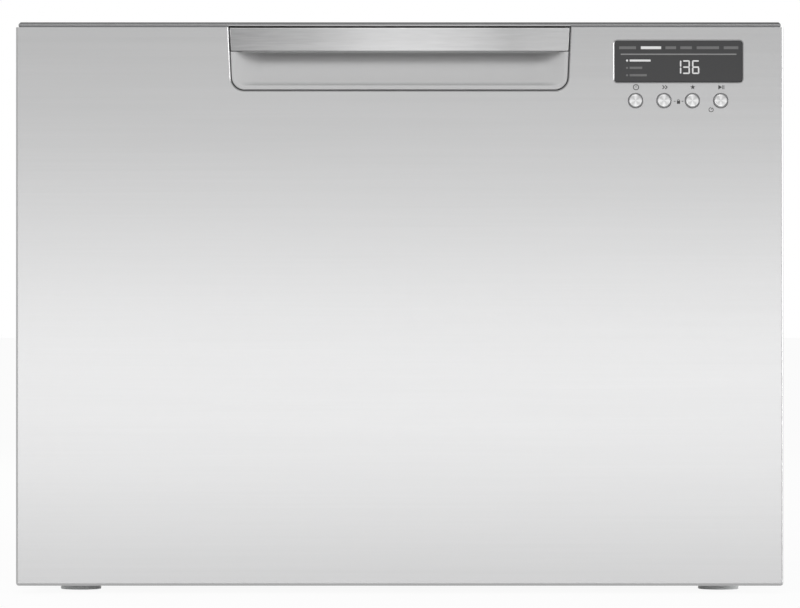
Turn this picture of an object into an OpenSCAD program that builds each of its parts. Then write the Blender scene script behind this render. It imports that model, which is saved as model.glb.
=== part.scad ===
// Single-drawer dishwasher: a cabinet with runners and a lid that lowers onto the tub,
// and a drawer that carries the front, the tub, the wash system and the racks.
// Millimetres. +Z is up, the front faces -Y, and the origin is on the floor under the
// middle of the whole box.

/* [Overall] */
// Depth from the button faces to the screw heads on the rear cover
overall_d = 573; // [565:1:585]
// How far the front stands out past the cabinet at each side
side_over = 3.5; // [2:0.5:6]
// Height of the floor gap under the cabinet
cabinet_lift = 10; // [9:1:14]
// How far the cabinet top lies below the top of the front
cabinet_drop = 3; // [2:0.5:6]
// Cabinet sheet thickness
sheet_t = 1; // [0.8:0.1:1.2]
// Bend radius of the cabinet's long top edges
cabinet_r = 4; // [3:0.5:8]
// Running gap between the drawer front and the cabinet
front_gap = 3; // [2.5:0.5:6]

/* [Drawer front] */
// Width of the drawer front
front_w = 599; // [597:1:604]
// Height of the drawer front
front_h = 440; // [438:1:450]
// Thickness of the drawer front
front_t = 30; // [29:1:36]
// Floor gap under the drawer front
front_lift = 6; // [4:1:8]
// Thickness of the stainless skin
skin_t = 1; // [0.8:0.1:1.2]
// Bend radius of the skin's edges
skin_r = 2.2; // [1.5:0.1:3]
// Height of the trim along the top edge
trim_h = 3.4; // [3:0.1:5]
// Gap between the top trim and the skin
trim_gap = 0.6; // [0.4:0.1:1]
// How far the trim's ends stay inside the skin's sides
trim_inset = 2; // [1:0.5:4]
// Thickness of the back plate
plate_t = 1.5; // [1:0.1:2]

/* [Handle] */
// Half width of the scoop opening at the top
scoop_top = 133.3; // [110:0.1:138]
// Half width of the scoop opening at the bottom
scoop_bottom = 131; // [108:0.1:136]
// Height of the scoop opening
scoop_h = 48.8; // [44:0.1:60]
// Corner radius of the scoop opening
scoop_r = 10.5; // [8:0.5:16]
// Depth of the finger space
scoop_d = 22; // [18:0.5:23]
// Width of the scoop's flat rim
scoop_rim = 2.8; // [2:0.1:4]
// Wall of the moulded scoop
scoop_wall = 2; // [1.5:0.1:2.5]
// Height of the brushed grip
grip_h = 18.6; // [14:0.1:22]
// Thickness of the grip's strip
grip_t = 1.8; // [1.2:0.1:2.2]

/* [Controls] */
// Distance of the control group's middle from the right edge of the front
panel_in = 82.1; // [77:0.1:92]
// Width of the display window
lens_w = 100.2; // [90:0.1:106]
// Height of the display window
lens_h = 32.6; // [28:0.1:36]
// Corner radius of the display window
lens_r = 2.4; // [1.5:0.1:4]
// Thickness of the display window
lens_t = 2.4; // [2:0.1:3]
// How far the window lies behind the skin's face
lens_sink = 0.8; // [0.4:0.1:1.2]
// Distance of the window's middle below the top of the front
lens_down = 30.4; // [26:0.1:34]
// Diameter of a button cap
cap_d = 9.8; // [8:0.1:12]
// Distance between two buttons
cap_pitch = 22.15; // [20:0.05:24]
// Distance of the buttons below the top of the front
cap_down = 61.3; // [60:0.1:66]
// How far a button stands out of the skin
cap_proud = 0.8; // [0.5:0.1:1.2]
// Travel of a button
cap_travel = 1; // [0.6:0.1:1.2]
// Gap around a button cap
cap_gap = 0.7; // [0.5:0.1:1]

/* [Tub] */
// Space for a runner between the tub and the cabinet's side
side_space = 25; // [23:0.5:30]
// Wall of the tub
tub_wall = 4; // [3:0.5:5]
// Corner radius of the tub, seen from above
tub_r = 30; // [20:1:40]
// Height of the tub floor's upper face
tub_floor = 104; // [104:1:112]
// Depth of space behind the tub
tub_rear_gap = 47; // [44:1:60]
// Width of the rim flange
rim_w = 7; // [5:0.5:8]
// Thickness of the rim flange
rim_t = 5; // [4:0.5:7]
// Distance of the rim below the top of the front
rim_down = 36; // [34:1:40]
// Radius of the sump well
sump_r = 86; // [80:1:92]
// Depth of the sump well below the tub floor
sump_d = 22; // [20:1:24]

/* [Lid] */
// Height of the lid
lid_h = 13; // [11:1:14]
// Travel of the lid
lid_travel = 12; // [8:0.5:12]
// Height of the lid seal
seal_h = 3.7; // [3:0.1:5]
// Tooth module of the lid drive
gear_m = 1.25; // [1.25:0.05:1.35]
// Teeth on a lid pinion
gear_teeth = 16; // [14:1:17]
// Face width of the lid gears
gear_w = 6; // [5:0.5:7]

/* [Runners] */
// Height of the runner's middle above the floor
runner_z = 230; // [220:1:240]
// Length of a runner
runner_l = 500; // [470:5:510]
// Height of the outer member
runner_h = 45; // [42:1:50]
// Thickness of a closed runner
runner_w = 13; // [12.6:0.2:14]
// Sheet thickness of the runner members
runner_t = 1.5; // [1.2:0.1:1.6]

/* [Wash system] */
// Reach of the spray arm
arm_r = 222; // [190:1:228]
// Width of the spray arm at the hub
arm_root = 40; // [34:1:46]
// Width of the spray arm at its tip
arm_tip = 26; // [20:1:32]
// Radius of the motor
motor_r = 62; // [50:1:70]
// Radius of the wash rotor
rotor_r = 30; // [24:1:34]

/* [Racks] */
// Wire radius of the racks
wire_r = 2; // [1.6:0.1:2.4]
// Gap between the rack and the tub walls
rack_gap = 8; // [6:1:12]
// Height of the rack's sides
rack_h = 158; // [140:1:160]
// Height of the rack's front
rack_front_h = 122; // [100:1:130]
// Height of the fold-down tines
tine_h = 95; // [80:1:98]
// Tines in a row
tine_n = 11; // [8:1:12]
// Reach of the cup shelves
shelf_w = 98; // [80:1:100]
// Width of the cutlery basket
basket_w = 104; // [96:1:108]
// Length of the cutlery basket
basket_l = 178; // [150:1:190]
// Height of the cutlery basket
basket_h = 128; // [110:1:130]
// Wall of the cutlery basket
basket_wall = 2; // [1.6:0.1:2.4]

/* [Hoses] */
// Outer radius of the drain hose
hose_r = 7.5; // [6:0.5:8]
// Outer radius of the fill hose
fill_r = 5; // [4:0.5:6]
// Outer radius of the wiring loom
loom_r = 4; // [3:0.5:5]
// Room between the motor housing and the drain hose
hose_room = 21.5; // [10:0.5:26]
// Room between the drain hose and the fill hose
hose_space = 12.7; // [8:0.1:14]

/* [Feet] */
// Radius of a foot's pad
foot_r = 16; // [12:1:20]
// Radius of a foot's threaded stem
foot_stem = 4; // [3:0.5:5]
// Distance of the feet from the cabinet's sides
foot_in = 43; // [42:1:50]

/* [Hidden] */
$fn = 48;

// A cut reaches this far past what it cuts.
past = 1;
// Running clearance of a pin in its bore.
pin_gap = 0.06;
// Clearance between parts that move past or lie in each other.
loose = 0.3;

// Fasteners
screw_head = 1.6;
head_r = 4;
screw_r = 2;
screw_out = 4;
rear_screw_in = 24;

// Depths
front_y = -overall_d / 2;
face_y = front_y + cap_proud;
plate_y = face_y + front_t - plate_t;
drawer_y = face_y + front_t;
cabinet_y0 = drawer_y + front_gap;
cabinet_y1 = overall_d / 2 - screw_head;

// Heights
front_top = front_lift + front_h;
skin_top = front_top - trim_h - trim_gap;
cabinet_top = front_top - cabinet_drop;
cabinet_w = front_w - 2 * side_over;
inner_x = cabinet_w / 2 - sheet_t;
tub_w = 2 * (inner_x - side_space);
inner_top = cabinet_top - sheet_t;
rim_z = front_top - rim_down;

// Cabinet
flange_w = 12;
foot_flange = 25;
tray_z = cabinet_lift + sheet_t;
tray_t = 3;
tray_lip = 13;
tray_x = inner_x - cabinet_r + sheet_t;
tray_top = tray_z + tray_t;
tray_rib = 4;
rib_step = 95;
boss_h = 26;
boss_wall = 5;
pad_top = cabinet_lift - 4;
foot_front = 38;
foot_rear = 62;
bead_h = 1.2;
bead_w = 16;
bead_in = 60;
bead_pitch = 108;
seal_corner = 6;
fixing_r = 2.25;
fixing_dy = 400;
fixing_dz = 300;
fixing_z = 236;
fixing_y = cabinet_y0 + 20 + fixing_dy / 2;

// Service bay at the lower rear
bay_in = 53;
bay_w = 202;
bay_x1 = inner_x - bay_in;
bay_x0 = bay_x1 - bay_w;
bay_top = tray_top + 78;
bay_d = 40;
bay_wall = 2;
bay_y = cabinet_y1 - sheet_t - bay_d;
port_z = tray_top + 36;
drain_r = 10.5;
drain_l = 26;
spigot_rim = 3;
spigot_t = 3;
spigot_nut = 6;
drain_x = bay_x1 - bay_wall - drain_r - spigot_rim - 1.5;
inlet_r = 13.2;
inlet_l = 14;
inlet_nut = 4;
inlet_collar = 1.8;
collar_out = 0.6;
inlet_x = drain_x - drain_r - spigot_rim - inlet_r - inlet_nut - 2.1;
gland_x = bay_x0 + 34;
gland_r = 4.2;
gland_l = 22;
gland_wall = 3;
gland_nut = 8;
valve_neck = 12;
valve_bore = 28;
valve_stub = 16;
valve_y0 = bay_y - 62;
coil_r = 11;
coil_h = 20;

// Cooling slots in the rear cover
slot_rows = 4;
slot_cols = 7;
slot_x = 95 - inner_x;
slot_z = 56;
slot_pitch_x = 25;
slot_pitch_z = 14;
slot_l = 18;
slot_h = 4;

// Runners, from the cabinet wall inwards
rail_x = inner_x;
slide_x = inner_x - runner_w;
lip_x = slide_x + runner_t;
slide_lip = 5.5;
runner_y0 = cabinet_y0 + 8;
runner_play = 3;
glide_l = 22;
middle_h = runner_h - 2 * runner_t - 2 * runner_play;
slide_h = middle_h - 2 * runner_t - 2 * runner_play;
ledge_x0 = tub_w / 2 - 1;

// Tub
tub_y0 = drawer_y + rim_w;
tub_y1 = cabinet_y1 - sheet_t - tub_rear_gap;
tub_cy = (tub_y0 + tub_y1) / 2;
tub_under = tub_floor - tub_wall;
sump_under = tub_floor - sump_d - tub_wall;
ledge_step = 8;
ledge_n = 8;
ledge_rib = 3;
filter_seat = tub_floor - 6;
filter_t = 3;
outlet_r = 9;
outlet_l = 20;
outlet_wall = 2.5;
outlet_z = tub_floor - 15;

// Wash system
shaft_r = 4;
rotor_z = tub_floor - sump_d + 3;
rotor_h = 10;
rotor_hub = 9;
motor_h = 44;
motor_flange = 10;
motor_flange_t = 4;
plug_w = 36;
plug_h = 26;
plug_out = 18;
fin_d = 3;
post_r = 12;
post_top = tub_floor + 16;
arm_z = tub_floor + 5;
arm_low = tub_floor + 9;
arm_h = 10;
hub_r = 20;
hub_top = 3;
jet_n = 7;
jet_r = 1.3;
strainer_r = 19;
strainer_rim = 1.5;
strainer_x = 57;

// Lid
lid_x = tub_w / 2 + rim_w + 1;
lid_y0 = cabinet_y0 + sheet_t + 2.5;
lid_y1 = tub_y1 + rim_w + 2;
lid_z = rim_z + loose + seal_h;
lid_skin = 2.5;
seal_w = 8;
rib_n = 4;
pitch_r = gear_m * gear_teeth / 2;
gear_gap = 0.3;
gear_x = lid_x + 3.2;
rack_pitch = PI * gear_m;
rack_below = 3 + ceil(lid_travel / rack_pitch);
rack_above = 3;
pinion_y = pitch_r;
pinion_down = 62;
pinion_z = lid_z - pinion_down;
rack_z0 = pinion_z - rack_below * rack_pitch;
rack_back = 7;
axle_r = 3;
drive_h = 52;
drive_l = 38;
drive_coil = 6.5;
guide_t = 5;
drive_x = gear_x + gear_w + 1;

// Racks
rack_x = tub_w / 2 - tub_wall - rack_gap;
rack_y0 = tub_y0 + tub_wall + 26;
rack_y1 = tub_y1 - tub_wall - rack_gap;
rack_z = arm_low + arm_h + 12;
pad_w = 9;
pad_h = 22;
pad_y = 150;
rack_cy = (rack_y0 + rack_y1) / 2;
rack_l = rack_y1 - rack_y0;
floor_top = rack_z + 2 * wire_r;
tine_r = 1.8;
hinge_z = floor_top + loose + wire_r;
tine_y0 = rack_y0 + 18;
tine_y1 = rack_y1 - 18;
basket_x1 = rack_x - 2 * wire_r - 2;
tine_out = 132;
tine_gap = 144;
tine_xs = [tine_out - rack_x, basket_x1 - basket_w - tine_gap];
tine_step = (tine_y1 - tine_y0) / (tine_n - 1);
clip_w = 8;
shelf_z = rack_z + rack_h + 3 * wire_r + loose;
shelf_x = rack_x - 3 * wire_r - 2;
shelf_y1 = rack_y1 - 10;
mesh_x = 12;
mesh_y = 10;
basket_y0 = rack_y0 + 2 * wire_r + 2;
basket_z = floor_top + loose;
handle_h = 24;
handle_w = 9;

// Dispenser on the tub's front wall
disp_w = 120;
disp_h = 84;
disp_d = 18;
disp_y0 = tub_y0 + tub_wall;
disp_y1 = disp_y0 + disp_d;
disp_z0 = rim_z - 18 - disp_h;
cup_x = -22;
cup_w = 52;
cup_h = 54;
cup_deep = 14;
det_t = 3;
det_pin = 1.5;
det_z = disp_z0 + 10;
det_y = disp_y1 + loose + det_t / 2;
disp_r = 8;
cup_wall = 4;
ear_t = 4;
ear_r = 3;
catch_w = 16;
rinse_x = 38;
rinse_r = 15;
cap_t = 5;
plug_r = 9;
plug_d = 5;

// Hoses
hose_front = tub_cy - 90;
hose_end = tub_cy + 120;
hose_stub = 14;
drain_moving_x = motor_r + hose_room + hose_r;
fill_moving_x = drain_moving_x + hose_r + hose_space + fill_r;
loom_moving_x = -motor_r - 2 * loom_r;
elbow_wall = 2;
elbow_l = 18;
pump_r = 30;
pump_y = tub_cy + sump_r + tub_wall + outlet_l + pump_r;
pump_duct = 10;

// Power module on the tray
module_in = 45;
module_w = 120;
module_x0 = module_in - inner_x;
module_x1 = module_x0 + module_w;
module_y0 = tub_cy + 60;
module_y1 = tub_cy + 190;
module_h = 40;
vent_step = 12;
vent_w = 5;
vent_in = 10;

// Controls
panel_x = front_w / 2 - panel_in;
lens_z = front_top - lens_down;
cap_z = front_top - cap_down;
cap_xs = [for (i = [0:3]) panel_x + (i - 1.5) * cap_pitch];
cap_back = 4;
cap_flange = 1;
panel_x0 = panel_x - lens_w / 2 - 5;
panel_x1 = panel_x + lens_w / 2 + 5;
panel_d = 14;
panel_wall = 2;
board_t = 1.6;

// ---------- Shapes that repeat ----------

module box(x0, x1, y0, y1, z0, z1) {
    translate([x0, y0, z0]) cube([x1 - x0, y1 - y0, z1 - z0]);
}

// Extrudes a shape drawn in (Y, Z) along X.
module along_x(x0, x1) {
    translate([x0, 0, 0]) rotate([90, 0, 90]) linear_extrude(x1 - x0) children();
}

// Extrudes a shape drawn in (X, Z) along Y.
module along_y(y0, y1) {
    translate([0, y1, 0]) rotate([90, 0, 0]) linear_extrude(y1 - y0) children();
}

module along_z(z0, z1) {
    translate([0, 0, z0]) linear_extrude(z1 - z0) children();
}

module round_rect(x0, x1, y0, y1, r) {
    translate([x0 + r, y0]) square([x1 - x0 - 2 * r, y1 - y0]);
    translate([x0, y0 + r]) square([x1 - x0, y1 - y0 - 2 * r]);
    for (x = [x0 + r, x1 - r], y = [y0 + r, y1 - r]) translate([x, y]) circle(r);
}

module rod_x(x0, x1, y, z, r, fn = 8) {
    translate([x0, y, z]) rotate([0, 90, 0]) cylinder(h = x1 - x0, r = r, $fn = fn);
}

module rod_y(x, y0, y1, z, r, fn = 8) {
    translate([x, y0, z]) rotate([-90, 0, 0]) cylinder(h = y1 - y0, r = r, $fn = fn);
}

module rod_z(x, y, z0, z1, r, fn = 8) {
    translate([x, y, z0]) cylinder(h = z1 - z0, r = r, $fn = fn);
}

// Mirrors what is drawn on the right side to the left one.
module side(s) {
    if (s > 0) children();
    else mirror([1, 0, 0]) children();
}

// ---------- Cabinet ----------

module cabinet_shell() {
    color("lightgray") difference() {
        union() {
            along_y(cabinet_y0, cabinet_y1 - sheet_t) difference() {
                round_rect(-cabinet_w / 2, cabinet_w / 2, cabinet_lift, cabinet_top, cabinet_r);
                round_rect(-inner_x, inner_x, tray_z, inner_top, cabinet_r - sheet_t);
                translate([foot_flange - cabinet_w / 2, 0])
                    square([cabinet_w - 2 * foot_flange, tray_z + past]);
            }
            along_y(cabinet_y0, cabinet_y0 + sheet_t) difference() {
                round_rect(-inner_x - sheet_t / 2, inner_x + sheet_t / 2,
                    cabinet_lift + sheet_t / 2, inner_top + sheet_t / 2, cabinet_r);
                round_rect(flange_w - inner_x, inner_x - flange_w, tray_z + flange_w,
                    inner_top - flange_w, cabinet_r);
            }
            for (s = [-1, 1], z = bead_zs()) side(s) side_bead(z);
        }
        for (s = [-1, 1]) side(s) {
            side_fixings();
            runner_notch(cabinet_y0 - past, cabinet_y0 + sheet_t + past);
        }
    }
}

// The way out for a runner through the frame of the cabinet's mouth.
module runner_notch(y0, y1) {
    half = runner_h / 2 + 2;
    box(inner_x - flange_w - past, inner_x, y0, y1, runner_z - half, runner_z + half);
}

function bead_zs() = [for (k = [-1.5:1.5]) (cabinet_lift + cabinet_top) / 2 + k * bead_pitch];

// A long swage that stiffens the side sheet.
module side_bead(z) {
    along_x(cabinet_w / 2 - sheet_t / 2, cabinet_w / 2 + bead_h)
        round_rect(cabinet_y0 + bead_in, cabinet_y1 - bead_in, z - bead_w / 2, z + bead_w / 2,
            0.48 * bead_w);
}

module side_fixings() {
    for (y = [-1, 1], z = [-1, 1])
        rod_x(inner_x - past, cabinet_w / 2 + past, fixing_y + y * fixing_dy / 2,
            fixing_z + z * fixing_dz / 2, fixing_r, 32);
}

// Floor tray with bosses for the feet, and behind it a flat sill under the service bay.
module base_tray() {
    y1 = bay_y - tray_t;
    color("dimgray") {
        difference() {
            union() {
                box(-tray_x, tray_x, cabinet_y0 + sheet_t + loose, y1, tray_z, tray_top);
                for (y = foot_ys()) for (s = [-1, 1])
                    rod_z(s * foot_x(), y, tray_z, tray_top + boss_h, foot_stem + boss_wall, 32);
                tray_edges(y1);
            }
            for (y = foot_ys()) for (s = [-1, 1])
                rod_z(s * foot_x(), y, tray_z - past, tray_top + boss_h + past, foot_stem + pin_gap, 32);
        }
        box(-tray_x, tray_x, y1 + loose, cabinet_y1 - sheet_t, tray_z, tray_top);
    }
}

module tray_edges(y1) {
    y0 = cabinet_y0 + sheet_t + loose;
    for (s = [-1, 1]) side(s) box(tray_x - tray_t, tray_x, y0, y1, tray_z, tray_z + tray_lip);
    for (y = [y0, y1 - tray_t]) box(-tray_x, tray_x, y, y + tray_t, tray_z, tray_z + tray_lip);
    for (x = [-2:2]) box(x * rib_step - 1, x * rib_step + 1, y0, y1 - tray_t, tray_z, tray_top + tray_rib);
}

function foot_x() = cabinet_w / 2 - foot_in;
function foot_ys() = [cabinet_y0 + foot_front, cabinet_y1 - foot_rear];

module rear_cover() {
    inside = cabinet_y1 - sheet_t;
    color("silver") difference() {
        union() {
            along_y(inside, cabinet_y1)
                round_rect(-cabinet_w / 2, cabinet_w / 2, cabinet_lift, cabinet_top, cabinet_r);
            for (s = [-1, 1]) side(s) box(inner_x - sheet_t, inner_x, inside - flange_w, inside,
                tray_z + tray_lip + 2, inner_top - cabinet_r);
            box(cabinet_r - inner_x, inner_x - cabinet_r, inside - flange_w, inside,
                inner_top - sheet_t, inner_top);
        }
        for (x = rear_screw_xs(), z = rear_screw_zs())
            rod_y(x, inside - past, cabinet_y1 + past, z, screw_r + pin_gap, 24);
        box(bay_x0 + bay_wall, bay_x1 - bay_wall, inside - past, cabinet_y1 + past,
            tray_top + bay_wall, bay_top - bay_wall);
        along_y(inside - past, cabinet_y1 + past)
            for (row = [0:slot_rows - 1], k = [0:slot_cols - 1])
                rear_slot(slot_x + k * slot_pitch_x, slot_z + row * slot_pitch_z);
    }
}

// One cooling slot, drawn in (X, Z).
module rear_slot(x, z) {
    round_rect(x - slot_l / 2, x + slot_l / 2, z - slot_h / 2, z + slot_h / 2, 0.48 * slot_h);
}

module cabinet_seal() {
    y0 = cabinet_y0 - front_gap + loose;
    color("black") difference() {
        along_y(y0, cabinet_y0) difference() {
            seal_outline(2);
            seal_outline(flange_w - 2);
        }
        for (s = [-1, 1]) side(s) runner_notch(y0 - past, cabinet_y0 + past);
    }
}

module seal_outline(inset) {
    round_rect(inset - inner_x, inner_x - inset, tray_z + inset, inner_top - inset, seal_corner);
}

// Plate with the holes of the ports, and the frame of four walls behind it.
module service_bay() {
    y1 = cabinet_y1 - sheet_t;
    front = bay_y + bay_wall;
    color("dimgray") {
        difference() {
            box(bay_x0, bay_x1, front + pin_gap, y1, tray_top, bay_top);
            box(bay_x0 + bay_wall, bay_x1 - bay_wall, front, y1 + past, tray_top + bay_wall,
                bay_top - bay_wall);
        }
        difference() {
            box(bay_x0, bay_x1, bay_y, front, tray_top, bay_top);
            rod_y(drain_x, bay_y - past, front + past, port_z, drain_r + loose, 48);
            rod_y(inlet_x, bay_y - past, front + past, port_z, inlet_r + inlet_collar + loose, 48);
            rod_y(gland_x, bay_y - past, front + past, port_z, gland_r + gland_wall + loose, 48);
        }
    }
}

// Solenoid valve behind the bay's wall, with the threaded inlet through the wall.
module inlet_valve() {
    front = bay_y + bay_wall;
    half = inlet_r + 0.8;
    color("white") difference() {
        union() {
            rod_y(inlet_x, bay_y - valve_neck, front + inlet_l, port_z, inlet_r, 48);
            rod_y(inlet_x, bay_y - valve_neck, front + collar_out, port_z, inlet_r + inlet_collar, 48);
            rod_y(inlet_x, bay_y - valve_neck, bay_y - loose, port_z, inlet_r + inlet_nut, 48);
            box(inlet_x - half, inlet_x + half, valve_y0 + valve_stub, bay_y - valve_neck, port_z - half,
                port_z + half);
            rod_z(inlet_x, valve_y0 + valve_stub + half, port_z + half, port_z + half + coil_h, coil_r, 32);
            rod_y(inlet_x, valve_y0, valve_y0 + valve_stub, port_z, fill_r, 32);
        }
        rod_y(inlet_x, bay_y - valve_neck - valve_bore, cabinet_y1, port_z, inlet_r - 5, 48);
    }
}

// Drain spigot and cable gland, both clamped in the bay's wall.
module bay_fittings() {
    r = gland_r + gland_wall;
    front = bay_y + bay_wall;
    color("black") {
        difference() {
            union() {
                rod_y(drain_x, bay_y - hose_stub, front + drain_l, port_z, drain_r, 48);
                rod_y(drain_x, front + loose, front + loose + spigot_t, port_z, drain_r + spigot_rim, 48);
                rod_y(drain_x, bay_y - spigot_nut, bay_y - loose, port_z, drain_r + spigot_rim, 6);
            }
            rod_y(drain_x, bay_y - hose_stub - past, cabinet_y1, port_z, drain_r - outlet_wall, 48);
        }
        difference() {
            union() {
                rod_y(gland_x, bay_y - gland_nut, front + gland_l - gland_nut, port_z, r, 48);
                rod_y(gland_x, front + loose, front + gland_nut, port_z, r + 4, 6);
                rod_y(gland_x, bay_y - gland_nut, bay_y - loose, port_z, r + 4, 6);
            }
            rod_y(gland_x, bay_y - gland_nut - past, cabinet_y1, port_z, gland_r, 48);
        }
    }
}

module power_module() {
    z0 = tray_top + tray_rib;
    z1 = z0 + module_h;
    color("darkslategray") difference() {
        box(module_x0, module_x1, module_y0, module_y1, z0, z1);
        for (x = [module_x0 + vent_step:vent_step:module_x1 - vent_step])
            box(x, x + vent_w, module_y0 + vent_in, module_y1 - vent_in, z1 - 2, z1 + past);
    }
}

// ---------- Runners ----------

// A channel from x0 with its web at x1, drawn in (X, Z).
module channel(x0, x1, h) {
    for (z = [runner_z - h / 2, runner_z + h / 2 - runner_t])
        translate([x0, z]) square([x1 - x0, runner_t]);
    translate([x1 - runner_t, runner_z - h / 2]) square([runner_t, h]);
}

// A pair of nylon glide blocks between two members, fixed to the outer one (fixed = 1)
// or to the inner one (fixed = -1), whose outer height is h.
module glides(x0, x1, y, h, fixed) {
    low = h / 2 + (fixed > 0 ? loose : 0);
    high = h / 2 + runner_play - (fixed > 0 ? 0 : loose);
    box(x0, x1, y, y + glide_l, runner_z + low, runner_z + high);
    box(x0, x1, y, y + glide_l, runner_z - high, runner_z - low);
}

module runner_rail(s) {
    color("silver") side(s) {
        difference() {
            along_y(runner_y0, runner_y0 + runner_l) channel(lip_x, rail_x, runner_h);
            for (y = rail_screw_ys())
                rod_x(rail_x - runner_t - past, rail_x + past, y, runner_z, screw_r + 0.2, 24);
        }
        glides(lip_x, rail_x - runner_t, runner_y0, middle_h, 1);
    }
}

function rail_screw_ys() = [for (k = [0.1, 0.5, 0.9]) runner_y0 + k * runner_l];

module runner_middle(s) {
    web = rail_x - runner_t - screw_head - 1.4;
    rear = runner_y0 + runner_l - runner_play - glide_l;
    color("gainsboro") side(s) {
        along_y(runner_y0 + runner_play, runner_y0 + runner_l - runner_play) channel(lip_x, web, middle_h);
        glides(lip_x, web, rear, middle_h, -1);
        glides(lip_x, web - runner_t, runner_y0 + runner_play, slide_h, 1);
    }
}

module runner_slide(s) {
    reach = slide_x + slide_lip;
    color("silver") side(s) {
        difference() {
            along_y(runner_y0, runner_y0 + runner_l) mirror([1, 0]) channel(-reach, -slide_x, slide_h);
            for (y = slide_screw_ys())
                rod_x(slide_x - past, slide_x + runner_t + past, y, runner_z, screw_r + 0.2, 24);
        }
        glides(lip_x, reach, runner_y0 + runner_l - glide_l, slide_h, -1);
    }
}

function slide_screw_ys() = [for (k = [0.15, 0.85]) runner_y0 + k * runner_l];

// ---------- Feet ----------

module foot(s, y) {
    color("black") translate([s * foot_x(), y, 0]) {
        cylinder(h = pad_top, r = foot_r);
        translate([0, 0, pad_top]) cylinder(h = 2, r = foot_stem + 4, $fn = 6);
        cylinder(h = tray_top + boss_h + 2, r = foot_stem);
    }
}

// ---------- Lid ----------

module lid() {
    color("whitesmoke") {
        difference() {
            along_z(lid_z, lid_z + lid_h) round_rect(-lid_x, lid_x, lid_y0, lid_y1, tub_r);
            along_z(lid_z + lid_skin, lid_z + lid_h + past)
                round_rect(lid_skin - lid_x, lid_x - lid_skin, lid_y0 + lid_skin, lid_y1 - lid_skin,
                    tub_r - lid_skin);
        }
        intersection() {
            along_z(lid_z + lid_skin / 2, lid_z + lid_h - 1)
                round_rect(1 - lid_x, lid_x - 1, lid_y0 + 1, lid_y1 - 1, tub_r - 1);
            lid_ribs();
        }
    }
}

module lid_ribs() {
    z0 = lid_z + lid_skin / 2;
    z1 = lid_z + lid_h - 1;
    for (i = [1:rib_n]) {
        x = -lid_x + i * 2 * lid_x / (rib_n + 1);
        y = lid_y0 + i * (lid_y1 - lid_y0) / (rib_n + 1);
        box(x - 1, x + 1, lid_y0, lid_y1, z0, z1);
        box(-lid_x, lid_x, y - 1, y + 1, z0, z1);
    }
}

module lid_seal() {
    edge = 1;
    color("dimgray") along_z(rim_z + loose, lid_z) difference() {
        round_rect(-tub_w / 2 - rim_w + edge, tub_w / 2 + rim_w - edge, lid_y0 + edge,
            tub_y1 + rim_w - edge, tub_r);
        round_rect(-tub_w / 2 - rim_w + edge + seal_w, tub_w / 2 + rim_w - edge - seal_w,
            lid_y0 + edge + seal_w, tub_y1 + rim_w - edge - seal_w, tub_r - seal_w / 2);
    }
}

// One rack tooth space's neighbours are trapezoids with 20 degree flanks, drawn in (Y, Z).
module rack_tooth(z) {
    half = rack_pitch / 4 - gear_gap / 4;
    slope = tan(20);
    add = gear_m * 0.95;
    ded = gear_m * 1.3;
    polygon([[-ded, z - half - ded * slope], [add, z - half + add * slope],
        [add, z + half - add * slope], [-ded, z + half + ded * slope]]);
}

module lid_rack(s) {
    top = lid_z + lid_h - 3;
    color("white") side(s) {
        along_x(gear_x, gear_x + gear_w) {
            translate([-rack_back, rack_z0]) square([rack_back - gear_m * 1.3 + 0.05, top - rack_z0]);
            for (i = [1 - rack_below:rack_above]) rack_tooth(pinion_z + (i - 0.5) * rack_pitch);
        }
        box(lid_x, gear_x + gear_w, -rack_back, 10, lid_z + 2, top);
    }
}

module lid_racks() {
    lid_rack(-1);
    lid_rack(1);
}

// Points of one involute flank, at radii from the base circle out, as [radius, angle].
function flank_angle(r) = let (c = acos(min(1, pitch_r * cos(20) / r))) tan(c) * 180 / PI - c;
function half_tooth(r) = 90 / gear_teeth - gear_gap / 2 / pitch_r * 90 / PI
    + flank_angle(pitch_r) - flank_angle(r);

module pinion_outline() {
    root = pitch_r - gear_m * 1.3;
    tip = pitch_r + gear_m * 0.95;
    base = max(root, pitch_r * cos(20));
    radii = [for (i = [0:4]) base + i * (tip - base) / 4];
    tooth = [for (r = radii) [r, -half_tooth(r)], for (i = [4:-1:0]) [radii[i], half_tooth(radii[i])]];
    gap = [[root, -half_tooth(base)], [root, half_tooth(base)]];
    polygon([for (k = [0:gear_teeth - 1], p = [gap[0], for (t = tooth) t, gap[1]])
        let (a = 180 + k * 360 / gear_teeth + p[1]) p[0] * [cos(a), sin(a)]]);
}

module lid_pinion(s) {
    color("orange") side(s) difference() {
        along_x(gear_x, gear_x + gear_w) translate([pinion_y, pinion_z]) pinion_outline();
        rod_x(gear_x - past, gear_x + gear_w + past, pinion_y, pinion_z, axle_r + pin_gap, 32);
    }
}

// Gear motors with the pinions' axles and the guides behind the racks.
module lid_drives() {
    low = pinion_z - drive_h / 2;
    high = pinion_z + drive_h / 2;
    x0 = gear_x - 0.5;
    guide = -rack_back - guide_t;
    y1 = pinion_y + drive_l;
    color("slategray") for (s = [-1, 1]) side(s) {
        box(drive_x, inner_x, guide, y1, low, high);
        box(x0, inner_x, guide, -rack_back - loose, pinion_z - pitch_r - 4, pinion_z + pitch_r + 4);
        box(x0, inner_x, pinion_y + pitch_r + 4, y1, low, high);
        rod_x(x0, drive_x + past, pinion_y, pinion_z, axle_r, 32);
        rod_z(inner_x - drive_coil - 1.5, y1 - drive_coil - 5, high - past, high + 22, drive_coil, 32);
    }
}

// ---------- Tub and wash system ----------

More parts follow.
